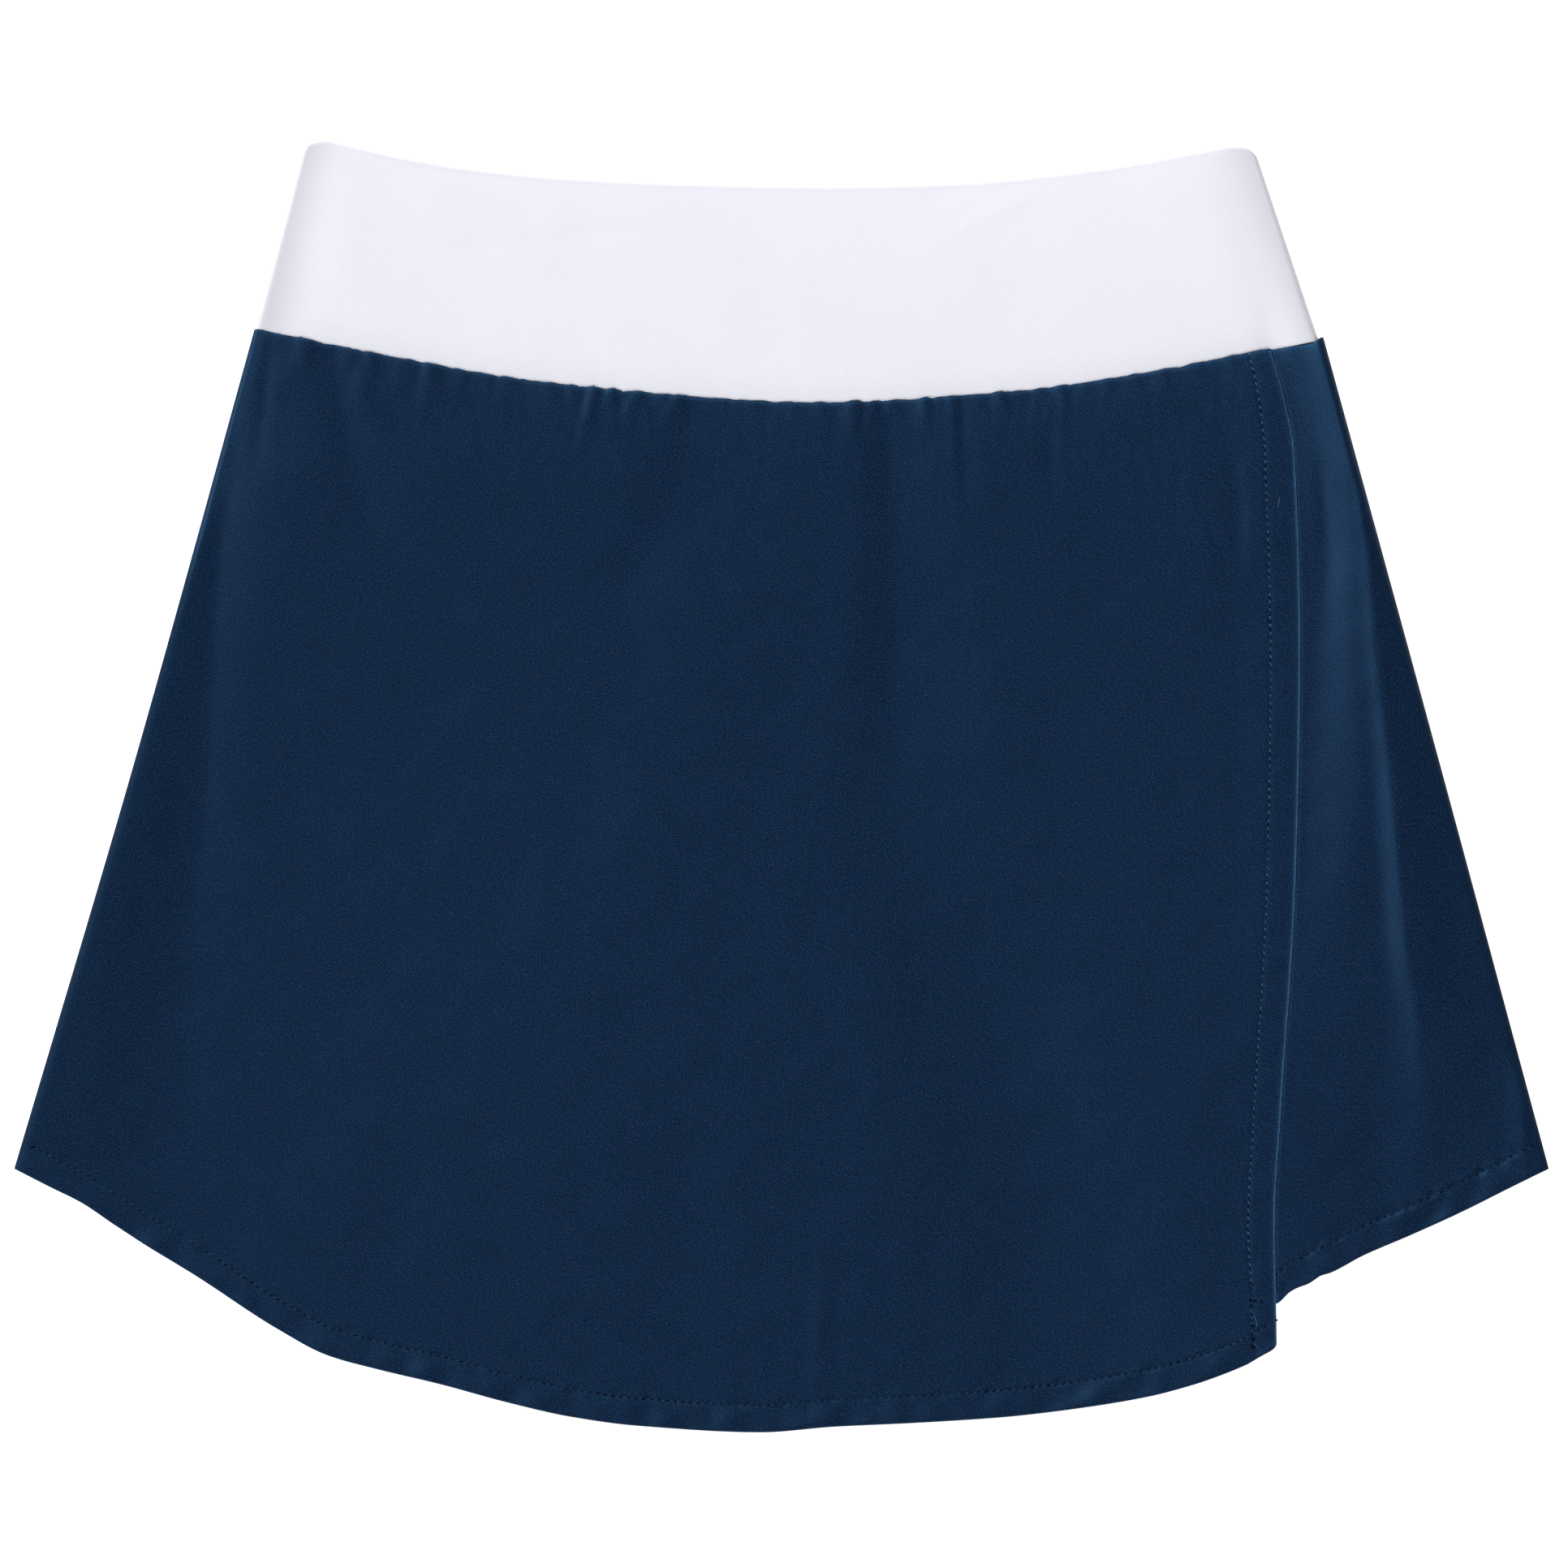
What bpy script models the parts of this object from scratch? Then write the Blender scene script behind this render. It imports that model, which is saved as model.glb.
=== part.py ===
"""A wrap-front skort laid flat, built as the panels that a maker cuts and sews together.

Run it with: blender --background --python part.py

The waist is towards +Y, the wearer's front faces up (+Z), and the back panel's underside lies on Z = 0. The
origin is the middle of the outline, on the surface that the garment rests on.

Each panel is a grid of points on the outer face of its cloth, which Solidify turns into a wall. A grid is laid
out between the cut's outlines. Its height comes from the cloth that lies under it and from short tables of folds
and gathers. Lengths are millimetres and become metres where the mesh is made.
"""

from collections import namedtuple

import bmesh
import bpy
import numpy as np

MM = 0.001

Point = namedtuple("Point", "x y")

# --- Cloth ---------------------------------------------------------------------------------------------------
CLOTH = 1.0  # the woven skirt and the knit of the shorts
BAND_WALL = 2.0  # the waistband is two layers of knit
SEAM_GAP = 0.3  # between pieces that are sewn together
SHORTS_RADIUS = 1.3  # outer radius of the shorts' side fold
SHORTS_BASE = CLOTH + SEAM_GAP  # the shorts lie on the back panel
STACK = 5.2  # from the surface to the top of the front panel, where it lies on the shorts
SIDE_RADIUS_TOP = (STACK - SEAM_GAP) / 2  # the skirt's side fold, from the waist seam
SIDE_RADIUS_LOW = 1.4  # and where it is pressed flat
PRESSING_STARTS = 100.0  # Y
PRESSING_ENDS = 30.0

# --- Waistband -----------------------------------------------------------------------------------------------
BAND_SIDE_LEFT = (Point(-168.6, 146.8), Point(-153.4, 203.6))
BAND_SIDE_RIGHT = (Point(171.8, 143.4), Point(152.2, 201.6))
WAIST_EDGE = (
    Point(-153.4, 203.4),
    Point(-151.2, 205.8),
    Point(-146.5, 206.7),
    Point(-138.2, 204.9),
    Point(-122.6, 201.4),
    Point(-99.2, 197.5),
    Point(-68.0, 194.6),
    Point(-29.0, 192.8),
    Point(14.7, 192.0),
    Point(56.8, 193.1),
    Point(88.0, 195.9),
    Point(111.4, 199.1),
    Point(134.8, 203.4),
    Point(144.0, 204.9),
    Point(149.5, 204.2),
    Point(152.2, 201.6),
)
BAND_PUFF = 1.4  # the knit stands up between the seam and the waist edge
BAND_EDGE_ROUND = 0.7  # the folded edge drops by this much over its last millimetres
BAND_EDGE_LENGTH = 2.0
BACK_WAIST_DROP = 0.8  # the back's waist edge lies just below the front's

# --- Skirt ---------------------------------------------------------------------------------------------------
SIDE_LEFT = (Point(-169.0, 146.8), Point(-208.4, 4.8), Point(-246.0, -122.6))
SIDE_RIGHT = (Point(173.4, 143.8), Point(211.4, 4.8), Point(245.7, -122.6))
WAIST_SEAM = (
    Point(-169.0, 146.8),
    Point(-130.9, 138.9),
    Point(-78.9, 129.9),
    Point(-37.3, 125.7),
    Point(12.1, 123.0),
    Point(77.1, 126.8),
    Point(118.7, 132.9),
    Point(156.4, 140.4),
    Point(173.4, 143.8),
)
WRAP_EDGE = (
    Point(156.4, 140.4),
    Point(160.8, 125.7),
    Point(164.2, 106.2),
    Point(166.0, 44.0),
    Point(164.5, -29.0),
    Point(159.6, -107.0),
    Point(157.9, -138.0),
    Point(158.7, -178.5),
)
UNDERLAP_EDGE = (Point(78.0, 126.9), Point(78.0, -182.0))
FRONT_HEM = (
    Point(-246.0, -122.6),
    Point(-224.5, -133.5),
    Point(-203.7, -147.3),
    Point(-177.7, -164.2),
    Point(-146.5, -182.4),
    Point(-110.1, -191.8),
    Point(-68.5, -202.2),
    Point(-40.0, -205.8),
    Point(-8.7, -207.1),
    Point(30.3, -204.4),
    Point(66.7, -202.4),
    Point(113.5, -195.9),
    Point(139.5, -188.1),
    Point(158.7, -178.5),
)
UNDERLAP_HEM = (
    Point(78.0, -182.0),
    Point(120.0, -175.5),
    Point(159.0, -165.2),
    Point(176.0, -155.6),
    Point(201.9, -143.7),
    Point(245.7, -122.6),
)
BACK_HEM = (
    Point(-246.0, -122.6),
    Point(-201.0, -142.4),
    Point(-159.0, -163.0),
    Point(-110.0, -183.0),
    Point(0.0, -194.0),
    Point(110.0, -183.0),
    Point(159.0, -163.0),
    Point(201.0, -142.4),
    Point(245.7, -122.6),
)
HEM_TURN = 12.5  # depth of the turned-up hem
HEM_TURN_HEIGHT = 0.5  # how much its extra layers lift the cloth
WRAP_TURN = 7.0  # width of the wrap's turned edge
WRAP_TURN_HEIGHT = 0.4
SEAM_ROLL = 0.6  # the gathered edge stands this much above the seam
SEAM_ROLL_LENGTH = 10.0
WRAP_CLIMB = 16.0  # the wrap climbs on to the underlap over this width
WRAP_CLEARANCE = 0.6

# --- Shorts --------------------------------------------------------------------------------------------------
SHORTS_SIDE = (Point(167.0, 146.0), Point(174.5, 96.0), Point(179.0, 10.0), Point(186.0, -97.0))
SHORTS_INSEAM = (
    Point(0.2, 124.0),
    Point(0.2, -44.0),
    Point(2.4, -52.0),
    Point(5.0, -66.0),
    Point(7.0, -109.0),
)
SHORTS_HEM = (Point(0.0, -109.0), Point(90.0, -106.0), Point(190.0, -96.0))
SHORTS_MARGIN = 14.0  # the skirt keeps its full height this far below the shorts
SHORTS_FALL = 24.0  # and lies on the back panel this much further down

# --- Folds and gathers ---------------------------------------------------------------------------------------
# A fold's crest runs from (x_top, y_top) by x_mid, half way down, to (x_low, y_low). It is `height` high and
# reaches `left` and `right` of its crest.
Fold = namedtuple("Fold", "x_top y_top x_mid x_low y_low left right height")
FRONT_FOLDS = (
    Fold(-160.0, 150.0, -177.0, -184.0, -95.0, 12.0, 14.0, 1.4),
    Fold(-137.0, 128.0, -124.0, -104.0, 20.0, 12.0, 14.0, 0.8),
    Fold(-26.0, 124.0, -52.0, -86.0, -60.0, 22.0, 16.0, 1.3),
    Fold(4.0, 118.0, -4.0, -12.0, -40.0, 16.0, 14.0, 0.7),
    Fold(44.0, 122.0, 46.0, 82.0, -30.0, 14.0, 20.0, 1.3),
    Fold(-4.0, -30.0, -8.0, -26.0, -160.0, 20.0, 26.0, 0.9),
    Fold(74.0, 0.0, 84.0, 100.0, -170.0, 24.0, 18.0, 0.9),
    Fold(-146.0, -20.0, -150.0, -160.0, -150.0, 22.0, 26.0, 0.8),
    Fold(24.0, -140.0, 23.0, 20.0, -230.0, 9.0, 11.0, 1.2),
    Fold(-60.0, -120.0, -64.0, -70.0, -240.0, 14.0, 16.0, 0.8),
)
UNDERLAP_FOLDS = (
    Fold(172.0, 152.0, 193.5, 206.0, -124.0, 20.0, 9.0, 2.9),
    Fold(228.0, -50.0, 231.0, 235.0, -150.0, 9.0, 6.0, 0.8),
)

# A gather stands up at the waist seam at `x` and dies out `length` below it. `half` is half its width.
Gather = namedtuple("Gather", "x half height length")
FRONT_GATHERS = (
    Gather(-161.5, 4.0, 0.9, 36.0),
    Gather(-152.0, 4.0, 0.7, 24.0),
    Gather(-143.0, 4.0, 1.2, 30.0),
    Gather(-133.0, 4.2, 0.8, 18.0),
    Gather(-123.6, 4.0, 1.1, 22.0),
    Gather(-114.0, 4.0, 0.8, 18.0),
    Gather(-104.4, 4.0, 1.1, 22.0),
    Gather(-91.9, 5.0, 0.7, 15.0),
    Gather(-78.9, 5.0, 0.7, 15.0),
    Gather(-68.5, 3.8, 0.7, 15.0),
    Gather(-60.0, 3.6, 1.3, 26.0),
    Gather(-46.9, 5.0, 1.1, 20.0),
    Gather(-34.0, 4.6, 1.0, 22.0),
    Gather(-24.8, 3.8, 1.3, 28.0),
    Gather(-9.0, 5.0, 0.5, 14.0),
    Gather(5.6, 5.0, 0.5, 14.0),
    Gather(20.0, 4.6, 1.1, 22.0),
    Gather(30.0, 3.6, 1.0, 18.0),
    Gather(38.0, 3.4, 0.9, 16.0),
    Gather(45.8, 3.4, 1.3, 22.0),
    Gather(54.2, 3.6, 1.5, 26.0),
    Gather(62.8, 3.6, 1.0, 18.0),
    Gather(71.0, 3.6, 1.3, 20.0),
    Gather(79.5, 3.8, 0.8, 15.0),
    Gather(90.6, 4.4, 1.2, 18.0),
    Gather(103.5, 5.0, 0.8, 15.0),
    Gather(116.0, 5.0, 0.7, 14.0),
    Gather(129.0, 5.0, 0.5, 12.0),
    Gather(143.0, 5.0, 0.5, 12.0),
)
UNDERLAP_GATHERS = (Gather(163.5, 3.0, 0.4, 14.0),)

# --- Stations of the grids -----------------------------------------------------------------------------------
FOLD_TURNS = np.radians((0.0, 6.0, 30.0, 60.0))  # round a side fold, from the side seam towards its top
BELOW_SEAM = (0.0, 2.5, 6.0, 11.0, 18.0, 28.0, 44.0)
ABOVE_HEM = (0.0, HEM_TURN, HEM_TURN + 2.0, 36.0, 66.0)
BETWEEN = 5  # rows between those two sets
PLAIN_BELOW_SEAM = (0.0, 12.0, 40.0)
PLAIN_ABOVE_HEM = (0.0, 30.0, 60.0)
BAND_ROWS = (0.0, 0.06, 0.2, 0.5, 0.8)  # shares of the band's depth
BAND_EDGE_ROWS = (BAND_EDGE_LENGTH, 0.4 * BAND_EDGE_LENGTH, 0.0)
FRONT_SPACING = 9.0
UNDERLAP_SPACING = 4.0
UNDERLAP_SHOWN_FROM = 118.0  # X on the seam of the column that comes out from under the wrap at the hem
PLAIN_SPACING = 14.0
BAND_CORNER_LEFT = (1.5, 4.5)  # how far from the band's sides its columns round the top corners
BAND_CORNER_RIGHT = (2.5, 8.0)

Look = namedtuple("Look", "name colour roughness")
NAVY_WOVEN = Look("navy_woven", (0.008, 0.024, 0.058), 0.62)
WHITE_KNIT = Look("white_knit", (0.80, 0.80, 0.86), 0.85)
NAVY_KNIT = Look("navy_knit", (0.007, 0.019, 0.047), 0.75)


# --- Curves --------------------------------------------------------------------------------------------------
def curve_through(rows, at):
    """Values at `at` of the smooth curve through (position, value) rows, level beyond its ends.

    Its slope at a row is the harmonic mean of the slopes on both sides, or 0 at a turn, so it never overshoots.
    """
    x, y = np.array(sorted(rows), float).T
    chord = np.diff(y) / np.diff(x)
    product = chord[:-1] * chord[1:]
    total = chord[:-1] + chord[1:]
    slope = np.concatenate([chord[:1], np.where(product > 0, 2 * product / (total + (total == 0)), 0), chord[-1:]])
    at = np.clip(at, x[0], x[-1])
    i = np.clip(np.searchsorted(x, at, side="right") - 1, 0, len(x) - 2)
    step = x[i + 1] - x[i]
    t = (at - x[i]) / step
    start = y[i] * (1 + 2 * t) + step * slope[i] * t
    end = y[i + 1] * (3 - 2 * t) + step * slope[i + 1] * (t - 1)
    return start * (1 - t) ** 2 + end * t**2


def across(outline, x):
    """Y at each x of an outline that runs from side to side."""
    return curve_through([(p.x, p.y) for p in outline], x)


def down(outline, y):
    """X at each y of an outline that runs from the waist to the hem."""
    return curve_through([(p.y, p.x) for p in outline], y)


def edge_at(edge, share):
    """X of a panel's edge at a share of its length, from 0 at its first point to 1 at its last."""
    length = edge[-1].y - edge[0].y
    return curve_through([((p.y - edge[0].y) / length, p.x) for p in edge], share)


def ease(t):
    """Smooth step from 0 to 1."""
    t = np.clip(t, 0.0, 1.0)
    return t * t * (3 - 2 * t)


def mix(a, b, t):
    return a + (b - a) * t


def bump(away, reach):
    """1 at the crest, 0 from `reach` on, rounded between."""
    return 0.5 + 0.5 * np.cos(np.pi * np.clip(np.abs(away) / reach, 0.0, 1.0))


# --- How high the cloth lies ---------------------------------------------------------------------------------
def side_radius(y):
    """Outer radius of the side fold, which is pressed flatter below the hips."""
    pressed = ease((PRESSING_STARTS - y) / (PRESSING_STARTS - PRESSING_ENDS))
    return mix(SIDE_RADIUS_TOP, SIDE_RADIUS_LOW, pressed)


def lying_height(x, y):
    """Top of a skirt panel: on the shorts where they are, sinking to the side folds and to the hem."""
    radius = side_radius(y)
    low = 2 * radius + SEAM_GAP
    left = down(SIDE_LEFT, y)
    right = down(SIDE_RIGHT, y)
    from_side = np.minimum(x - left, right - x) - radius
    shorts = down(SHORTS_SIDE, y)
    room = np.minimum(-left, right) - shorts
    over_side = ease(from_side / (0.6 * np.maximum(room, 6.0)))
    shorts_end = across(SHORTS_HEM, np.abs(x)) - SHORTS_MARGIN
    over_hem = ease(1 - (shorts_end - y) / SHORTS_FALL)
    return low + (STACK - low) * over_side * over_hem


def fold_height(folds, x, y):
    """Height that the folds add at each (x, y). A fold dies out at both its ends."""
    total = np.zeros_like(x)
    for f in folds:
        crest = curve_through([(f.y_top, f.x_top), ((f.y_top + f.y_low) / 2, f.x_mid), (f.y_low, f.x_low)], y)
        reach = np.where(x < crest, f.left, f.right)
        end = 0.3 * (f.y_top - f.y_low)
        along = ease((f.y_top - y) / end) * ease((y - f.y_low) / end)
        total += f.height * along * bump(x - crest, reach)
    return total


def gather_height(gathers, seam_x, below):
    """Height that the gathers add to cloth that meets the seam at seam_x, `below` down from the seam."""
    total = np.zeros_like(seam_x)
    for g in gathers:
        total += g.height * ease(1 - below / g.length) * bump(seam_x - g.x, g.half)
    return total + SEAM_ROLL * ease(1 - below / SEAM_ROLL_LENGTH) * ease(below / BELOW_SEAM[1])


def underlap_height(x, y):
    """Top of the underlap without its gathers."""
    return lying_height(x, y) + fold_height(UNDERLAP_FOLDS, x, y)


def wrap_height(x, y):
    """Top of the front panel without its own folds: on the shorts, then up on to the underlap."""
    lap = ease((x - UNDERLAP_EDGE[0].x + WRAP_CLIMB) / WRAP_CLIMB)
    return mix(lying_height(x, y), underlap_height(x, y) + CLOTH + WRAP_CLEARANCE, lap)


# --- Grids ---------------------------------------------------------------------------------------------------
Cut = namedtuple("Cut", "top low left right folded_left folded_right")
Grid = namedtuple("Grid", "x y radius turn seam_x from_top from_low")


def spread(first, last, widest, marks=()):
    """Stations from first to last that take in the marks and are never further apart than `widest`."""
    fixed = sorted([first, last, *marks])
    runs = [
        np.linspace(a, b, int(np.ceil((b - a) / widest)) + 1)[:-1] for a, b in zip(fixed[:-1], fixed[1:])
    ]
    return np.append(np.concatenate(runs), last)


def lay_out(cut, stations, from_top, from_low, between):
    """The panel's grid from above, with its rows from the low edge up and its columns from left to right.

    Stations are X on the top edge. A folded side has more columns, at each of FOLD_TURNS.
    """
    width = cut.right[0].x - cut.left[0].x
    turn = np.full(len(stations), np.pi / 2)
    share = (stations - cut.left[0].x) / width
    side = np.zeros(len(stations))
    if cut.folded_left:
        turn = np.concatenate([FOLD_TURNS, turn])
        share = np.concatenate([np.zeros(len(FOLD_TURNS)), share])
        side = np.concatenate([-np.ones(len(FOLD_TURNS)), side])
    if cut.folded_right:
        turn = np.concatenate([turn, FOLD_TURNS[::-1]])
        share = np.concatenate([share, np.ones(len(FOLD_TURNS))])
        side = np.concatenate([side, np.ones(len(FOLD_TURNS))])

    def column_x(at, y):
        radius = side_radius(y)
        left = edge_at(cut.left, at) + radius * cut.folded_left
        right = edge_at(cut.right, at) - radius * cut.folded_right
        return mix(left, right, share) + side * radius * np.cos(turn)

    seam_x = column_x(0.0, cut.left[0].y)
    y_top = across(cut.top, seam_x)
    y_low = across(cut.low, column_x(1.0, cut.left[-1].y))
    first = y_low[None] + np.array(sorted(from_low))[:, None]
    last = y_top[None] - np.array(sorted(from_top, reverse=True))[:, None]
    steps = np.linspace(0.0, 1.0, between + 2)[1:-1, None]
    y = np.concatenate([first, mix(first[-1:], last[:1], steps), last])
    x = column_x((y_top - y) / (y_top - y_low), y)
    return Grid(x, y, side_radius(y), turn + 0 * y, seam_x + 0 * y, y_top - y, y - y_low)


def rounded_up(grid, height):
    """Points of an upper face: at `height`, and round the side folds."""
    on_fold = SEAM_GAP + grid.radius * (1 + np.sin(grid.turn))
    flat = grid.turn > FOLD_TURNS[-1] + 0.01
    return np.stack([grid.x, grid.y, np.where(flat, height, on_fold)], -1)


def rounded_down(grid):
    """Points of an under face: on the surface, and round the side folds."""
    return np.stack([grid.x, grid.y, grid.radius * (1 - np.sin(grid.turn))], -1)


# --- Solids --------------------------------------------------------------------------------------------------
def material(look):
    """The Principled material of a cloth, made once."""
    found = bpy.data.materials.get(look.name)
    if found:
        return found
    made = bpy.data.materials.new(look.name)
    made.use_nodes = True
    shader = made.node_tree.nodes["Principled BSDF"]
    shader.inputs["Base Color"].default_value = (*look.colour, 1.0)
    shader.inputs["Roughness"].default_value = look.roughness
    shader.inputs["Metallic"].default_value = 0.0
    return made


def cloth_piece(name, points, wall, look, thin_top=False):
    """A cloth wall whose outer face is the grid of points, shaped (rows, columns, 3).

    The faces turn to the side from which the columns run left to right with the rows going up. With thin_top
    the wall narrows towards its last row, as a folded edge does.
    """
    rows, columns = points.shape[:2]
    shape = bmesh.new()
    bmesh.ops.create_grid(shape, x_segments=columns - 1, y_segments=rows - 1, size=0.5)
    mesh = bpy.data.meshes.new(name)
    shape.to_mesh(mesh)
    shape.free()
    mesh.vertices.foreach_set("co", (points * MM).ravel())
    mesh.shade_smooth()
    mesh.materials.append(material(look))
    piece = bpy.data.objects.new(name, mesh)
    shell = piece.modifiers.new("cloth", "SOLIDIFY")
    shell.thickness = wall * MM
    shell.offset = -1.0
    shell.use_even_offset = True
    if thin_top:
        full = piece.vertex_groups.new(name="full")
        for row, share in zip(range(rows), thinning(rows)):
            full.add(list(range(row * columns, (row + 1) * columns)), share, "REPLACE")
        shell.vertex_group = full.name
    return piece


def thinning(rows):
    """Share of the wall's thickness at each row: full, then less at the last two."""
    return [1.0] * (rows - 2) + [0.8, 0.45]


def mirrored(points):
    """Points with left and right exchanged and the columns still in order."""
    return points[:, ::-1] * (-1.0, 1.0, 1.0)


# --- Pieces --------------------------------------------------------------------------------------------------
def front_panel():
    """The wrap: left side seam to the free edge, gathered, with its turned hem and turned edge."""
    cut = Cut(WAIST_SEAM, FRONT_HEM, SIDE_LEFT, WRAP_EDGE, True, False)
    marks = [g.x for g in FRONT_GATHERS]
    marks += [(a.x + b.x) / 2 for a, b in zip(FRONT_GATHERS[:-1], FRONT_GATHERS[1:])]
    marks += [UNDERLAP_EDGE[0].x - WRAP_CLIMB, WRAP_EDGE[0].x - WRAP_TURN - 1.0, WRAP_EDGE[0].x - WRAP_TURN]
    stations = spread(SIDE_LEFT[0].x, WRAP_EDGE[0].x, FRONT_SPACING, sorted(set(marks)))
    below = [d + SEAM_GAP / 2 for d in BELOW_SEAM]
    grid = lay_out(cut, stations, below, ABOVE_HEM, BETWEEN)
    height = wrap_height(grid.x, grid.y) + fold_height(FRONT_FOLDS, grid.x, grid.y)
    height += gather_height(FRONT_GATHERS, grid.seam_x, grid.from_top - SEAM_GAP / 2)
    height += HEM_TURN_HEIGHT * (grid.from_low < HEM_TURN + 1.0)
    height += WRAP_TURN_HEIGHT * (grid.seam_x > WRAP_EDGE[0].x - WRAP_TURN - 0.5)
    return cloth_piece("skirt_front", rounded_up(grid, height), CLOTH, NAVY_WOVEN)


def underlap_panel():
    """The panel under the wrap: its hidden straight edge to the right side seam."""
    cut = Cut(WAIST_SEAM, UNDERLAP_HEM, UNDERLAP_EDGE, SIDE_RIGHT, False, True)
    shown = spread(UNDERLAP_SHOWN_FROM, SIDE_RIGHT[0].x, UNDERLAP_SPACING)
    hidden = spread(UNDERLAP_EDGE[0].x, shown[0], PLAIN_SPACING)
    below = [d + SEAM_GAP / 2 for d in BELOW_SEAM]
    grid = lay_out(cut, np.append(hidden[:-1], shown), below, ABOVE_HEM, BETWEEN)
    height = underlap_height(grid.x, grid.y)
    in_sight = ease((grid.seam_x - WRAP_EDGE[0].x) / 4.0)
    height += in_sight * gather_height(UNDERLAP_GATHERS, grid.seam_x, grid.from_top - SEAM_GAP / 2)
    height += HEM_TURN_HEIGHT * (grid.from_low < HEM_TURN + 1.0) * in_sight
    return cloth_piece("skirt_underlap", rounded_up(grid, height), CLOTH, NAVY_WOVEN)


def back_panel():
    """The back of the skirt, which the garment rests on."""
    cut = Cut(WAIST_SEAM, BACK_HEM, SIDE_LEFT, SIDE_RIGHT, True, True)
    stations = spread(SIDE_LEFT[0].x, SIDE_RIGHT[0].x, PLAIN_SPACING)
    below = [d + SEAM_GAP / 2 for d in PLAIN_BELOW_SEAM]
    grid = lay_out(cut, stations, below, PLAIN_ABOVE_HEM, BETWEEN)
    return cloth_piece("skirt_back", rounded_down(grid)[:, ::-1], CLOTH, NAVY_WOVEN)


def band_grid(spacing, edge_drop, row_shares, edge_rows):
    """The waistband's grid from above, with its rows from the seam up to the waist edge."""
    first = BAND_SIDE_LEFT[0].x
    last = BAND_SIDE_RIGHT[0].x
    corners = [first + d for d in BAND_CORNER_LEFT] + [last - d for d in BAND_CORNER_RIGHT]
    stations = spread(first, last, spacing, corners)
    folds = len(FOLD_TURNS)
    share = np.concatenate([np.zeros(folds), (stations - first) / (last - first), np.ones(folds)])
    turn = np.concatenate([FOLD_TURNS, np.full(len(stations), np.pi / 2), FOLD_TURNS[::-1]])
    side = np.concatenate([-np.ones(folds), np.zeros(len(stations)), np.ones(folds)])

    def column_x(at):
        left = edge_at(BAND_SIDE_LEFT, at) + SIDE_RADIUS_TOP
        right = edge_at(BAND_SIDE_RIGHT, at) - SIDE_RADIUS_TOP
        return mix(left, right, share) + side * SIDE_RADIUS_TOP * np.cos(turn)

    seam_x = column_x(0.0)
    low = across(WAIST_SEAM, seam_x) + SEAM_GAP / 2
    top = across(WAIST_EDGE, column_x(1.0)) - edge_drop
    inner_rows = mix(low, top, np.array(row_shares)[:, None])
    y = np.concatenate([inner_rows, top - np.array(edge_rows)[:, None]])
    x = column_x((y - low) / (top - low))
    return Grid(x, y, SIDE_RADIUS_TOP + 0 * y, turn + 0 * y, seam_x + 0 * y, top - y, y - low)


def front_band():
    """The front half of the waistband, which stands up softly between its edges."""
    grid = band_grid(PLAIN_SPACING * 0.75, 0.0, BAND_ROWS, BAND_EDGE_ROWS)
    seam_height = wrap_height(grid.seam_x, across(WAIST_SEAM, grid.seam_x))
    share = grid.from_low / (grid.from_low + grid.from_top)
    sides = np.minimum(grid.x - grid.x[:, :1], grid.x[:, -1:] - grid.x)
    height = mix(seam_height, STACK, ease(share))
    height += BAND_PUFF * np.sin(np.pi * np.clip(share, 0.0, 1.0)) ** 0.7 * ease(sides / 20.0)
    height -= BAND_EDGE_ROUND * ease(1 - grid.from_top / BAND_EDGE_LENGTH)
    return cloth_piece("waistband_front", rounded_up(grid, height), BAND_WALL, WHITE_KNIT, thin_top=True)


def back_band():
    """The back half of the waistband, flat on the surface."""
    grid = band_grid(PLAIN_SPACING, BACK_WAIST_DROP, (0.0, 0.5), (0.0,))
    return cloth_piece("waistband_back", rounded_down(grid)[:, ::-1], BAND_WALL, WHITE_KNIT)


def shorts_leg():
    """Points of the right leg: one piece from the front centre, round the outer side, to the back centre."""
    seam_drop = SEAM_GAP / 2
    turns = np.radians((90.0, 60.0, 30.0, 0.0, -30.0, -60.0, -90.0))
    inner = np.linspace(0.0, 1.0, 13)[:-1]
    share = np.concatenate([inner, np.ones(len(turns)), inner[::-1]])
    layer = np.concatenate([np.ones(len(inner)), np.sin(turns), -np.ones(len(inner))])
    out = np.concatenate([np.zeros(len(inner)), np.cos(turns), np.zeros(len(inner))])

    def column_x(y):
        centre = down(SHORTS_INSEAM, y)
        fold = down(SHORTS_SIDE, y) - SHORTS_RADIUS
        return mix(centre, fold, share) + out * SHORTS_RADIUS

    y_top = np.full(len(share), 135.0)
    y_low = np.full(len(share), -105.0)
    for _ in range(4):
        y_top = across(WAIST_SEAM, column_x(y_top)) - seam_drop
        y_low = across(SHORTS_HEM, column_x(y_low))
    rise = np.array((-52.0, -44.0, 0.0, 50.0, 96.0))[:, None] + 0 * y_top
    y = np.stack([y_low, mix(y_low, -52.0, 0.33), mix(y_low, -52.0, 0.66), *rise, y_top])
    z = SHORTS_BASE + SHORTS_RADIUS * (1 + layer)
    return np.stack([column_x(y), y, z + 0 * y], -1)


def skort():
    """Makes the pieces and puts them in their collection, on one parent."""
    collection = bpy.data.collections.new("skort")
    bpy.context.scene.collection.children.link(collection)
    parent = bpy.data.objects.new("skort_middle", None)
    collection.objects.link(parent)
    leg = shorts_leg()
    pieces = (
        front_band(),
        back_band(),
        front_panel(),
        underlap_panel(),
        back_panel(),
        cloth_piece("shorts_right", leg, CLOTH, NAVY_KNIT),
        cloth_piece("shorts_left", mirrored(leg), CLOTH, NAVY_KNIT),
    )
    for piece in pieces:
        piece.parent = parent
        collection.objects.link(piece)


def main():
    for old in list(bpy.data.objects):
        bpy.data.objects.remove(old)
    skort()


main()
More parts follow.
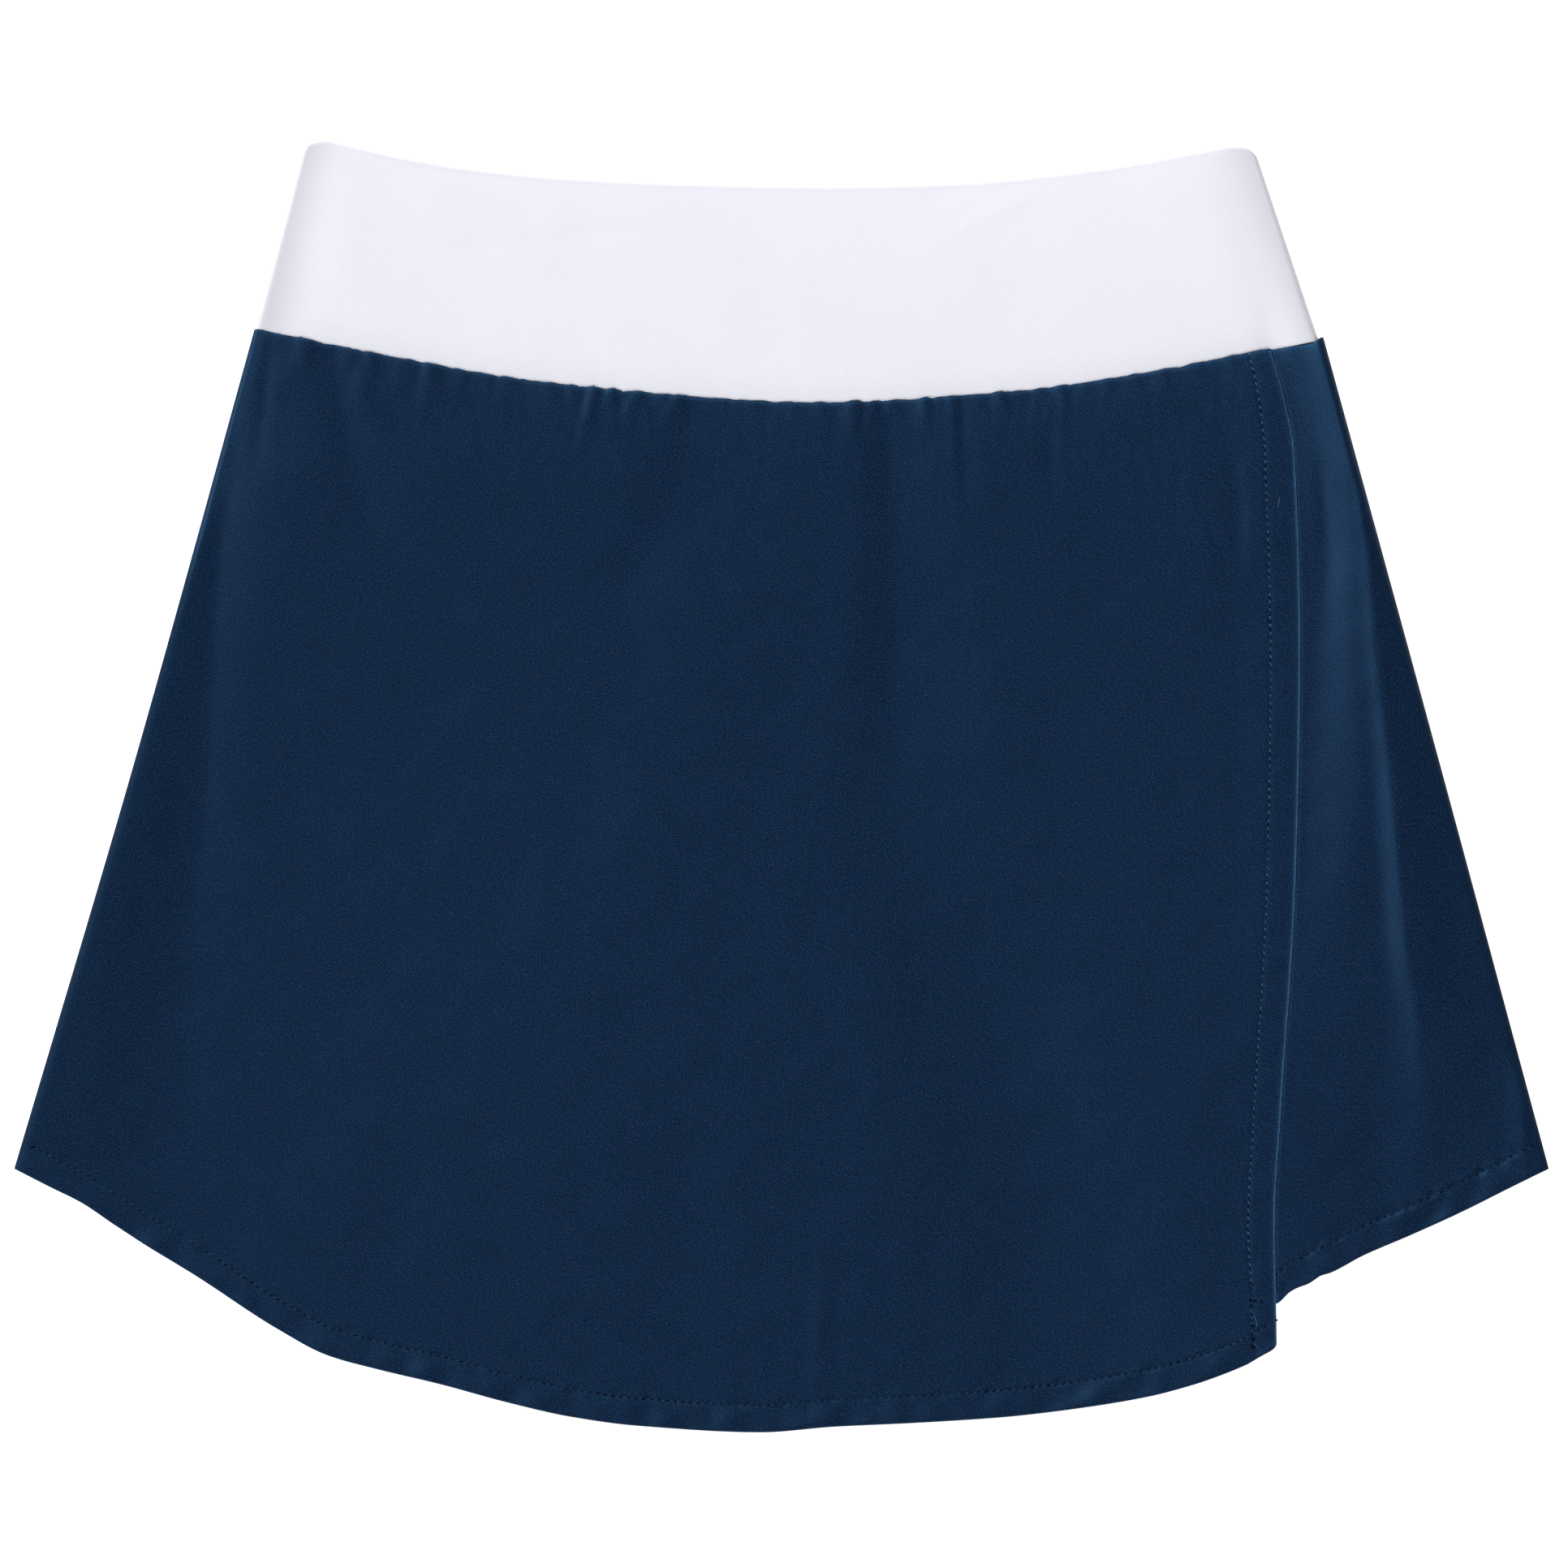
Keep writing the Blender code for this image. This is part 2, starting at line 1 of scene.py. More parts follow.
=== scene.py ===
from collections import namedtuple

import bpy
import numpy as np
from bpy.props import FloatProperty, FloatVectorProperty, IntProperty, PointerProperty
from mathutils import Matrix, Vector


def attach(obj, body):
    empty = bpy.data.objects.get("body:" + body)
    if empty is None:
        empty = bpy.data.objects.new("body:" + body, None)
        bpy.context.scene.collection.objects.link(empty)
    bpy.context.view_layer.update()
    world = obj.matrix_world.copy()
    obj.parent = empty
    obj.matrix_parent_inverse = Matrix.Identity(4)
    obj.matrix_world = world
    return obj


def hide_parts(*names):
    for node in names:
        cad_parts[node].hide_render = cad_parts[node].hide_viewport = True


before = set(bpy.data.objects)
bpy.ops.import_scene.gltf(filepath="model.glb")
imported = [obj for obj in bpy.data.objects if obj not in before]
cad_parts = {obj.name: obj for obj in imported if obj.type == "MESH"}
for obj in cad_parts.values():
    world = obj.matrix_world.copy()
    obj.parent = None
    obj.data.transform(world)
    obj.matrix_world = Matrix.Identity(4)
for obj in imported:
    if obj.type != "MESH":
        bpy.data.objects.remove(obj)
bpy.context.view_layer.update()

bl_info = {
    "name": "Wrap-front skort, laid flat",
    "version": (1, 0, 0),
    "blender": (4, 5, 0),
    "location": "3D View > Sidebar > Skort",
    "description": "Knit waistband, gathered woven skirt with a lapped front, inner shorts and topstitching",
    "category": "Object",
}

# Lengths are millimetres and become metres where a mesh is made. +X is across the skort, +Y is towards the
# waist, +Z is up, and the skort lies on Z = 0.
MM = 0.001

Point = namedtuple("Point", "x y")


def polyline(*pairs):
    """Points from (x, y) pairs."""
    return tuple(Point(*pair) for pair in pairs)


# --- Cloth ----------------------------------------------------------------------------------------
SEAM_GAP = 0.3  # between the front's cloth and the back's at the sides
STACK = 5.2  # height of the front at the waist edge
SIDE_REACH = 1.8  # half the width of the rounding at the sides
MIDDLE_OVER = 150.0  # width over which the cloth reaches the middle's height
RIGHT_SWELL = 0.6  # how much higher the right half lies than the middle
SWELL_FROM, SWELL_OVER = 70.0, 85.0  # where that swell starts, and its width
LAP = 0.6  # how far the underlap lies below the front panel
CREST_PLACES = (-1.2, -0.6, 0.0, 0.6, 1.2)  # the form at the right is a mean over these places

# Slight waves of a cloth: their shortest and longest lengths, and the seed of their directions
Waves = namedtuple("Waves", "shortest longest seed")
FRONT_WAVES = Waves(18.0, 70.0, 3)
GATHER_WAVES = Waves(6.0, 16.0, 4)
WRAP_WAVES = Waves(6.0, 20.0, 12)
UNDERLAP_WAVES = Waves(14.0, 60.0, 5)
BAND_WAVES = Waves(22.0, 80.0, 6)
SHORTS_WAVES = Waves(12.0, 60.0, 8)
SCALLOPS = Waves(2.6, 8.0, 31)
FRONT_HEM_SEED = 11
UNDERLAP_HEM_SEED = 13

# --- Waistband ------------------------------------------------------------------------------------
BAND_SIDE_LEFT = polyline((-168.6, 146.8), (-153.4, 203.6))
BAND_SIDE_RIGHT = polyline((171.8, 143.4), (152.2, 201.6))
WAIST_EDGE = polyline(
    (-153.4, 203.4), (-151.2, 205.8), (-146.5, 206.7), (-138.2, 204.9), (-122.6, 201.4),
    (-99.2, 197.5), (-68.0, 194.6), (-29.0, 192.8), (14.7, 192.0), (56.8, 193.1), (88.0, 195.9),
    (111.4, 199.1), (134.8, 203.4), (144.0, 204.9), (149.5, 204.2), (152.2, 201.6),
)
BACK_WAIST_DROP = 0.8
BAND_CORNERS = (-152.0, 151.0)  # X of the waist edge's two rounded corners
BAND_ROWS = (0.0, 0.15, 0.4, 0.75, 1.2, 1.8, 2.6, 3.6, 4.8)  # distances from the band's edges

# --- Skirt ----------------------------------------------------------------------------------------
SIDE_LEFT = polyline((-169.0, 146.8), (-208.4, 4.8), (-246.0, -122.6))
SIDE_RIGHT = polyline((173.4, 143.8), (211.4, 4.8), (245.7, -122.6))
WAIST_SEAM = polyline(
    (-169.0, 146.8), (-130.9, 138.9), (-78.9, 129.9), (-37.3, 125.7), (12.1, 123.0), (77.1, 126.8),
    (118.7, 132.9), (156.4, 140.4), (173.4, 143.8),
)
WRAP_EDGE = polyline(
    (156.4, 140.4), (160.8, 125.7), (164.2, 106.2), (166.0, 44.0), (164.5, -29.0), (159.6, -107.0),
    (157.9, -138.0), (158.5, -179.0),
)
# How far the wrap's topstitching lies inside its edge
WRAP_STITCH = polyline((6.8, 140.0), (9.6, 96.0), (9.3, 0.0), (8.6, -140.0), (6.6, -176.0))
FRONT_INNER_END = 143.0  # X at the seam up to which the columns are laid round the gathers
WRAP_STITCH_END = -163.0
HEM_STITCH_END = 155.8
WRAP_LIFT = 0.26  # how far the cloth stands up at the wrap edge
WRAP_LIFT_END, WRAP_LIFT_OVER = -130.0, 90.0  # where that ends low down, and the depth over which it fades
# Where the wrap's stitches stop: short knots, near-black with painted shade, and the light ends of the thread
TACK_KNOTS = (
    ((149.9, -164.2), (150.2, -165.1)),
    ((150.8, -164.7), (151.8, -165.0)),
    ((153.2, -165.1), (153.9, -165.2)),
    ((149.9, -166.7), (150.7, -166.3)),
    ((150.3, -168.5), (150.5, -169.4)),
    ((150.7, -172.6), (150.8, -173.3)),
    ((150.6, -176.5), (151.0, -177.6)),
    ((150.5, -178.9), (151.1, -180.3)),
    ((158.1, -170.9), (158.7, -171.3)),
)
TACK_ENDS = (
    ((150.1, -167.7), (151.2, -169.6), (151.9, -171.5), (152.2, -173.2)),
    ((150.4, -170.0), (150.7, -170.7)),
    ((150.6, -171.6), (150.8, -172.3)),
    ((150.5, -174.0), (150.7, -174.8)),
    ((151.0, -175.2), (151.4, -175.9)),
    ((151.2, -178.3), (151.8, -179.3), (152.6, -180.0)),
)
LINT = (((159.4, 92.6), (159.2, 91.0), (158.8, 89.2)),)
LINT_COLOUR = (0.16, 0.17, 0.26)
UNDERLAP_EDGE = polyline((78.0, 126.9), (78.0, -182.0))
UNDERLAP_HIDDEN = 0.42  # share of the underlap's width that never shows
FRONT_HEM = polyline(
    (-246.0, -122.6), (-234.9, -128.3), (-224.5, -133.5), (-214.1, -140.5), (-203.7, -147.3),
    (-188.1, -156.9), (-162.1, -174.1), (-146.5, -182.4), (-130.9, -186.8), (-110.1, -191.8),
    (-89.3, -197.5), (-68.5, -202.2), (-47.7, -205.0), (-8.7, -207.1), (14.7, -205.3),
    (38.0, -204.2), (66.7, -202.4), (87.5, -200.1), (113.5, -195.9), (129.1, -191.8),
    (139.5, -188.1), (152.1, -182.6), (157.3, -180.3), (158.5, -179.0),
)
UNDERLAP_HEM = polyline(
    (78.0, -182.0), (120.0, -175.5), (158.8, -165.7), (162.5, -162.3), (164.7, -161.0),
    (168.8, -159.4), (172.9, -156.8), (175.1, -156.2), (186.3, -150.4), (201.9, -143.7),
    (217.5, -136.6), (233.1, -128.8), (245.7, -122.6),
)
BACK_HEM = polyline(
    (-246.0, -122.6), (-201.0, -142.4), (-159.0, -163.0), (-110.0, -183.0), (0.0, -194.0),
    (110.0, -183.0), (159.0, -163.0), (201.0, -142.4), (245.7, -122.6),
)
# How the cloth lies, from the waist down: the heights at which the side seams lie at the left and the right,
# the height in the middle, that of the hollow beside the shorts at the left, and the climb out of it with the
# width that it takes
Lie = namedtuple("Lie", "y left right middle hollow climb over")
LIES = (
    Lie(206.0, 2.2, 2.3, 5.2, 4.4, 0.4, 30.0),
    Lie(147.0, 1.6, 3.3, 4.7, 3.7, 0.5, 26.0),
    Lie(120.0, 1.4, 3.8, 5.1, 3.3, 1.1, 30.0),
    Lie(100.0, 1.4, 3.9, 5.35, 3.3, 1.5, 30.0),
    Lie(75.0, 1.75, 3.8, 5.45, 3.3, 1.25, 27.0),
    Lie(50.0, 1.9, 3.7, 5.4, 3.3, 0.9, 22.0),
    Lie(25.0, 2.0, 3.35, 5.3, 3.1, 0.75, 20.0),
    Lie(0.0, 2.1, 2.95, 5.2, 2.8, 0.6, 20.0),
    Lie(-25.0, 2.2, 2.55, 5.1, 2.65, 0.5, 24.0),
    Lie(-50.0, 2.2, 2.25, 4.95, 2.5, 0.35, 28.0),
    Lie(-75.0, 2.15, 2.05, 4.75, 2.45, 0.2, 30.0),
    Lie(-100.0, 2.05, 1.95, 4.5, 2.4, 0.15, 30.0),
    Lie(-125.0, 1.85, 1.85, 4.1, 2.4, 0.1, 30.0),
    Lie(-160.0, 1.75, 1.75, 3.5, 2.5, 0.0, 30.0),
    Lie(-210.0, 1.6, 1.6, 3.0, 2.5, 0.0, 30.0),
)
HOLLOW_LINE = polyline(
    (-166.6, 147.0), (-170.4, 135.0), (-173.4, 120.0), (-176.2, 100.0), (-180.0, 75.0),
    (-181.6, 50.0), (-182.8, 25.0), (-184.0, 0.0), (-186.4, -25.0), (-188.2, -50.0),
    (-190.5, -100.0), (-193.0, -150.0),
)
# The form that stands up at the right side, from the waist down: a soft rise with its middle, width and
# height, then a keener one up to the crest, with the crest's place, the rise's width and the crest's height
Form = namedtuple("Form", "y x_rise width rise x_crest keen crest")
RIGHT_FORM = (
    Form(147.0, 167.0, 14.0, 1.4, 171.4, 5.0, 7.2),
    Form(130.0, 170.6, 14.0, 2.0, 177.4, 5.5, 8.9),
    Form(115.0, 174.0, 13.0, 2.4, 181.4, 6.0, 9.3),
    Form(100.0, 176.4, 9.5, 2.5, 184.4, 6.5, 9.3),
    Form(75.0, 178.4, 10.5, 2.2, 187.8, 7.5, 8.8),
    Form(50.0, 178.2, 15.0, 2.2, 189.2, 6.0, 8.7),
    Form(25.0, 177.8, 19.0, 2.1, 191.8, 6.0, 8.5),
    Form(0.0, 176.6, 21.0, 1.85, 194.6, 6.5, 8.4),
    Form(-25.0, 174.6, 20.0, 1.2, 196.6, 6.5, 8.1),
    Form(-50.0, 172.0, 22.0, 0.7, 198.8, 7.0, 7.4),
    Form(-75.0, 170.0, 24.0, 0.4, 203.0, 10.0, 6.4),
    Form(-100.0, 172.0, 24.0, -0.1, 205.4, 18.0, 5.3),
    Form(-125.0, 176.0, 20.0, -0.3, 208.0, 22.0, 3.8),
    Form(-160.0, 178.0, 20.0, -0.2, 210.0, 22.0, 2.6),
)

# --- Shorts ---------------------------------------------------------------------------------------
SHORTS_RADIUS = 0.66
SHORTS_BASE = 1.0
SHORTS_SIDE = polyline((164.0, 146.0), (168.5, 96.0), (171.0, 10.0), (177.0, -97.0))
SHORTS_INSEAM = polyline(
    (0.2, 124.0), (0.2, -44.0), (2.4, -52.0), (5.0, -66.0), (7.0, -109.0),
)
SHORTS_HEM = polyline((0.0, -109.0), (90.0, -106.0), (190.0, -96.0))
SHORTS_HEM_ROWS = (0.0, 0.3, 1.0, 3.0, 6.0, 9.0, 11.0, 12.0, 13.0, 15.0)  # distances from the hem

# --- Folds ----------------------------------------------------------------------------------------
# A fold's line runs from (x_top, y_top) by x_mid, half way down, to (x_low, y_low). It is `height` high,
# or deep where that is negative, and reaches `left` and `right` of its line at the top, and `spread` times
# as far at the low end. `keen` makes it from a soft wave, at 0, to a crease, at 1.
Fold = namedtuple("Fold", "x_top y_top x_mid x_low y_low left right spread height keen")
FOLD_IN, FOLD_OUT = 0.25, 0.5  # shares of a fold's length over which it comes in and dies out
FOLD_POINT = 0.1  # how rounded a crease is, in reaches
FRONT_FOLDS = (
    Fold(-163.4, 150.0, -166.4, -170.2, 92.0, 2.4, 3.6, 1.2, -0.24, 0.6),
    Fold(-145.6, 152.0, -137.0, -116.0, 52.0, 5.0, 5.0, 4.4, -0.40, 0.5),
    Fold(-24.0, 134.0, -35.0, -58.0, 46.0, 8.0, 26.0, 3.4, -0.50, 0.35),
    Fold(-14.0, 100.0, -38.0, -66.0, -90.0, 26.0, 46.0, 1.2, 0.36, 0.0),
    Fold(31.0, 144.0, 37.0, 37.0, -14.0, 7.0, 16.0, 3.4, -0.85, 0.4),
    Fold(37.0, 74.0, 39.0, 58.0, -110.0, 20.0, 30.0, 1.6, -0.60, 0.3),
    Fold(52.0, -16.0, 83.0, 100.0, -280.0, 38.0, 46.0, 1.6, -1.50, 0.2),
    Fold(56.8, 128.0, 58.6, 60.0, 82.0, 2.6, 5.0, 1.8, -0.24, 0.3),
    Fold(130.0, 120.0, 135.0, 139.0, 38.0, 16.0, 8.0, 1.0, 0.18, 0.0),
    Fold(13.0, -145.0, 11.0, 9.0, -236.0, 5.0, 7.0, 1.2, 0.22, 0.4),
    Fold(48.0, -130.0, 50.0, 51.0, -240.0, 10.0, 8.0, 1.2, -0.16, 0.3),
    Fold(144.0, 112.0, 147.0, 145.6, 60.0, 7.0, 3.0, 1.2, -0.26, 0.6),
    Fold(132.0, 98.0, 137.5, 144.0, 66.0, 2.4, 3.4, 1.2, -0.16, 0.6),
    Fold(86.0, 122.0, 86.0, 87.0, 84.0, 6.0, 5.0, 1.2, -0.16, 0.2),
    Fold(-32.0, -88.0, -34.0, -30.0, -236.0, 24.0, 18.0, 1.2, -0.26, 0.0),
    Fold(-150.0, -110.0, -152.0, -156.0, -176.0, 26.0, 30.0, 1.0, 0.25, 0.0),
    Fold(-70.0, -10.0, -80.0, -86.0, -90.0, 10.0, 14.0, 1.6, 0.14, 0.3),
)
UNDERLAP_FOLDS = (
    Fold(236.5, -84.0, 238.0, 239.6, -140.0, 7.0, 2.2, 1.4, 0.55, 0.6),
    Fold(190.0, -96.0, 192.0, 194.0, -165.0, 11.0, 14.0, 1.0, -0.40, 0.0),
)

# A gather's crest leaves the waist seam at `x` and drifts `lean` mm sideways for each mm down. It reaches
# `left` and `right` of its crest, and dies out `length` below the seam.
Gather = namedtuple("Gather", "x left right height length lean")
GATHER_WIDENS = 0.8  # how much wider a gather is where it dies out, in reaches
FRONT_GATHERS = (
    Gather(-151.6, 6.0, 4.0, 0.30, 22.0, 0.0),
    Gather(-138.0, 5.0, 3.4, 0.14, 20.0, 0.0),
    Gather(-131.4, 4.0, 4.0, 0.26, 26.0, -0.05),
    Gather(-120.6, 4.6, 3.4, 0.18, 20.0, 0.0),
    Gather(-112.0, 4.0, 5.0, 0.26, 26.0, 0.0),
    Gather(-102.0, 4.0, 3.0, 0.16, 16.0, 0.0),
    Gather(-94.5, 3.6, 3.0, 0.12, 10.0, 0.0),
    Gather(-87.4, 4.0, 5.0, 0.16, 12.0, 0.0),
    Gather(-73.6, 4.4, 3.0, 0.16, 14.0, 0.0),
    Gather(-66.6, 3.0, 3.4, 0.16, 12.0, 0.0),
    Gather(-59.4, 2.8, 2.6, 0.34, 26.0, -0.13),
    Gather(-53.4, 3.4, 2.2, 0.34, 8.0, -0.1),
    Gather(-45.2, 3.6, 2.4, 0.26, 14.0, -0.3),
    Gather(-37.6, 3.0, 2.6, 0.14, 8.0, -0.3),
    Gather(-32.4, 3.4, 3.6, 0.26, 14.0, -0.3),
    Gather(-20.0, 4.0, 4.0, 0.08, 10.0, 0.0),
    Gather(-8.0, 4.0, 4.0, 0.08, 8.0, 0.0),
    Gather(5.4, 4.0, 3.4, 0.10, 8.0, 0.0),
    Gather(13.8, 4.0, 3.0, 0.14, 8.0, 0.0),
    Gather(24.4, 4.0, 2.6, 0.34, 20.0, -0.12),
    Gather(30.8, 2.8, 2.6, 0.18, 10.0, 0.0),
    Gather(36.4, 2.8, 2.2, 0.22, 8.0, 0.1),
    Gather(46.4, 2.0, 3.4, 0.36, 16.0, -0.02),
    Gather(51.4, 3.0, 2.4, 0.10, 8.0, 0.0),
    Gather(55.6, 3.0, 3.4, 0.26, 12.0, 0.0),
    Gather(64.0, 3.0, 2.4, 0.12, 8.0, 0.0),
    Gather(71.0, 3.0, 2.8, 0.26, 16.0, 0.03),
    Gather(76.6, 3.0, 2.6, 0.10, 8.0, 0.0),
    Gather(84.0, 3.4, 2.4, 0.12, 10.0, 0.0),
    Gather(90.6, 3.6, 2.2, 0.28, 12.0, 0.04),
    Gather(98.0, 3.4, 2.4, 0.12, 8.0, 0.0),
    Gather(105.0, 3.6, 2.6, 0.16, 8.0, 0.0),
    Gather(113.6, 4.0, 2.6, 0.16, 10.0, 0.0),
    Gather(122.4, 4.4, 3.0, 0.14, 14.0, 0.0),
    Gather(133.0, 4.0, 4.0, 0.10, 10.0, 0.0),
    Gather(144.0, 4.0, 4.0, 0.10, 10.0, 0.0),
)
UNDERLAP_GATHERS = (Gather(163.0, 4.0, 3.0, 0.08, 12.0, 0.2),)

# --- Waist seam -----------------------------------------------------------------------------------
SEAM_STEP = 1.5  # how far the seam steps up over a gather, in the gather's heights
SCALLOP = 0.13  # height of its small scallops
SEAM_BACK = 0.2  # how far it lies below its even line between the gathers
UNDERLAP_DROP = 0.9  # how far it drops beside the wrap's edge, up to
DROP_END, DROP_OVER = 172.4, 1.4  # this X, with the width over which the drop eases back

# --- Waistband's creases --------------------------------------------------------------------------
BAND_CREASES = (
    Fold(-20.0, 182.0, -76.0, -132.0, 167.0, 26.0, 26.0, 1.0, -0.20, 0.3),
    Fold(84.0, 193.0, 60.0, 34.0, 165.0, 10.0, 10.0, 1.0, 0.20, 0.2),
    Fold(64.0, 198.0, 50.0, 34.0, 178.0, 12.0, 12.0, 1.0, -0.14, 0.2),
)

# --- The back's shallow hollows, which rise from the surface that it lies on ----------------------
BACK_GATHERS = (
    Gather(-148.0, 4.0, 4.0, 0.30, 22.0, 0.0),
    Gather(-131.0, 3.5, 4.5, 0.22, 16.0, 0.0),
    Gather(-112.0, 4.5, 3.5, 0.30, 26.0, 0.05),
    Gather(-90.0, 4.0, 4.0, 0.24, 18.0, 0.0),
    Gather(-66.0, 5.0, 4.0, 0.30, 30.0, -0.06),
    Gather(-41.0, 4.0, 4.0, 0.26, 20.0, 0.0),
    Gather(-14.0, 4.5, 5.0, 0.30, 24.0, 0.04),
    Gather(11.0, 4.0, 4.0, 0.22, 16.0, 0.0),
    Gather(38.0, 5.0, 4.0, 0.30, 28.0, 0.0),
    Gather(63.0, 4.0, 4.5, 0.26, 20.0, 0.06),
    Gather(88.0, 4.0, 4.0, 0.30, 24.0, 0.0),
    Gather(112.0, 4.5, 4.0, 0.24, 18.0, 0.0),
    Gather(134.0, 4.0, 4.0, 0.30, 26.0, -0.05),
    Gather(153.0, 3.5, 4.0, 0.24, 20.0, 0.0),
)
BACK_FOLDS = (
    Fold(-70.0, 110.0, -80.0, -96.0, -60.0, 9.0, 9.0, 2.0, 0.28, 0.2),
    Fold(20.0, 112.0, 24.0, 30.0, -140.0, 8.0, 10.0, 2.2, 0.30, 0.2),
    Fold(92.0, 108.0, 108.0, 124.0, -40.0, 9.0, 8.0, 2.0, 0.26, 0.2),
)

# --- Rows and columns -----------------------------------------------------------------------------
# What a panel's grid is laid out in: its top and low outlines, its sides, and which of them are folded
Cut = namedtuple("Cut", "top low left right fold_left fold_right")
# At each point: its place, the level of the side seams, its turn round a side fold, the X of its column at
# the top, and its distances from the top, the low edge and the right edge
Grid = namedtuple("Grid", "x y level turn seam_x from_top from_low from_edge")
# How many columns there are from side to side, and rows between those beside the edges
Counts = namedtuple("Counts", "columns rows")
FRONT_COUNTS = Counts(310, 168)
BACK_COUNTS = Counts(150, 90)
BAND_FRONT_COUNTS = Counts(260, 36)
BAND_BACK_COUNTS = Counts(120, 36)
UNDERLAP_HIDDEN_COLUMNS = 14  # more columns, where the underlap never shows
UNDERLAP_COUNTS = Counts(105, 120)
SHORTS_COUNTS = Counts(45, 60)
SHORTS_TURNS = np.radians(np.linspace(90.0, -90.0, 13))  # round the shorts' fold, from above to below
FOLD_TURNS = np.radians((0.0, 9.0, 20.0, 33.0, 47.0, 61.0, 76.0))  # round a panel's, from the seam up
SEAM_MEET = 0.015  # how near the cloths come to the seam's line
BELOW_SEAM = (0.0, 0.3, 0.7, 1.2, 1.8, 2.5, 3.3, 4.2, 5.2, 6.3, 7.5, 8.8, 10.2, 11.7)
# Rows above a hem and columns beside the wrap's edge, as shares of the distance to the stitches
HEM_SHARES = (0.0, 0.017, 0.046, 0.09, 0.16, 0.28, 0.46, 0.64, 0.8, 0.88, 0.94, 1.0)
HEM_SHARES += (1.06, 1.12, 1.2, 1.32, 1.5)
WRAP_SHARES = (1.42, 1.28, 1.17, 1.08, 1.0, 0.92, 0.82, 0.66, 0.48, 0.32, 0.19, 0.1, 0.045, 0.016, 0.0)

# --- Threads --------------------------------------------------------------------------------------
# A stitch's bar: its length and width, how far its middle lies above the cloth, how far it is moved along the
# run, in pitches, its slant out of the run, in radians, and the share by which its size varies
Bar = namedtuple("Bar", "length width lift shift slant uneven")
HEM_DENTS = Bar(1.05, 0.50, -0.07, 0.0, 0.4, 0.3)
HEM_BARS = Bar(0.9, 0.30, 0.02, 0.5, 0.4, 0.25)
WRAP_DENTS = Bar(1.3, 0.56, -0.16, 0.5, 0.2, 0.25)
WRAP_BARS = (0.08, 0.0, 0.3, 0.2)  # as a bar's, after its length and width, which are settings
BAR_RINGS = (-1.0, -0.7, 0.0, 0.7, 1.0)
STRAND_RINGS = 12
TUBE_TURNS = np.radians(np.arange(0, 360, 60))[:, None]  # round a thread, which has six sides

SIDE_SHADE_NAVY = (0.0, 0.003, 0.012)  # painted shade: the dark navy that the woven cloth is mixed towards at its side folds

# --- Stage ----------------------------------------------------------------------------------------
FLOOR_REACH = 15000.0
FLOOR_BELOW = 0.1
VIEW_CENTRE = Point(0.65, 0.65)
VIEW_LEVEL = 2.6  # the height at which the view has its width
# A light's strength is one of the stage's settings. `angle` is how wide it is seen, in degrees.
Lamp = namedtuple("Lamp", "name strength angle towards")
LAMPS = (
    Lamp("left", "key", 20.0, (-0.60, 0.32, 0.73)),
    Lamp("top", "top", 40.0, (0.10, 0.70, 0.70)),
    Lamp("right", "low", 40.0, (0.92, 0.02, 0.34)),
    Lamp("hem", "low", 40.0, (-0.10, -0.92, 0.34)),
)


# --- Settings -------------------------------------------------------------------------------------
def amount(name, description, default):
    """A setting that is a number."""
    return FloatProperty(name=name, description=description, default=default)


def tone(name, description, *default):
    """A setting that is a colour, by its linear red, green and blue."""
    return FloatVectorProperty(name=name, description=description, subtype="COLOR", default=default)


class SkortCloth(bpy.types.PropertyGroup):
    """Thickness and loft of the cloths."""

    skirt_wall: amount("Skirt cloth", "Thickness of the woven cloth", 0.4)
    band_wall: amount("Band wall", "Thickness of the folded knit band", 2.0)
    shorts_wall: amount("Shorts cloth", "Thickness of the jersey", 0.6)
    band_puff: amount("Band puff", "How far the band stands up", 1.5)
    roll: amount("Seam roll", "How far cloth rolls up beside a seam", 0.9)
    uneven: amount("Unevenness", "Height of the cloth's slight waves", 0.05)
    pucker: amount("Hem pucker", "Height of the hem's small waves", 0.25)


class SkortStitching(bpy.types.PropertyGroup):
    """Sizes of the topstitching."""

    pitch: amount("Pitch", "From one stitch to the next", 2.5)
    length: amount("Length", "Length of thread that shows", 1.05)
    thread: amount("Thread", "Thickness of the thread", 0.36)
    hem_inset: amount("Hem inset", "From the hem to its stitches", 8.7)
    seed: IntProperty(name="Seed", description="Start of the stitches' slight variation", default=7)


class SkortColours(bpy.types.PropertyGroup):
    """Colours of the cloths and the thread, as linear values."""

    navy: tone("Navy", "Woven skirt", 0.0001, 0.0001, 0.0055)
    navy_light: tone("Navy fleck", "Lighter threads", 0.0010, 0.0370, 0.0880)
    navy_violet: tone("Violet fleck", "Redder threads", 0.0200, 0.0270, 0.0900)
    white: tone("White", "Knit waistband", 0.80, 0.80, 0.875)
    jersey: tone("Jersey", "Inner shorts", 0.0035, 0.0140, 0.0380)
    thread: tone("Thread", "Topstitching", 0.045, 0.125, 0.250)


class SkortStage(bpy.types.PropertyGroup):
    """Camera, floor and lights."""

    view_width: amount("View width", "Width of the view, in mm", 502.3)
    lens: amount("Lens", "Focal length of the camera, in mm", 800.0)
    key: amount("Key", "Strength of the light from the left", 3.3)
    top: amount("Top", "Strength of the light from beyond the waist", 0.4)
    low: amount("Low", "Strength of the right and the hem lights", 0.5)
    fill: amount("Fill", "Strength of the light from all round", 0.12)


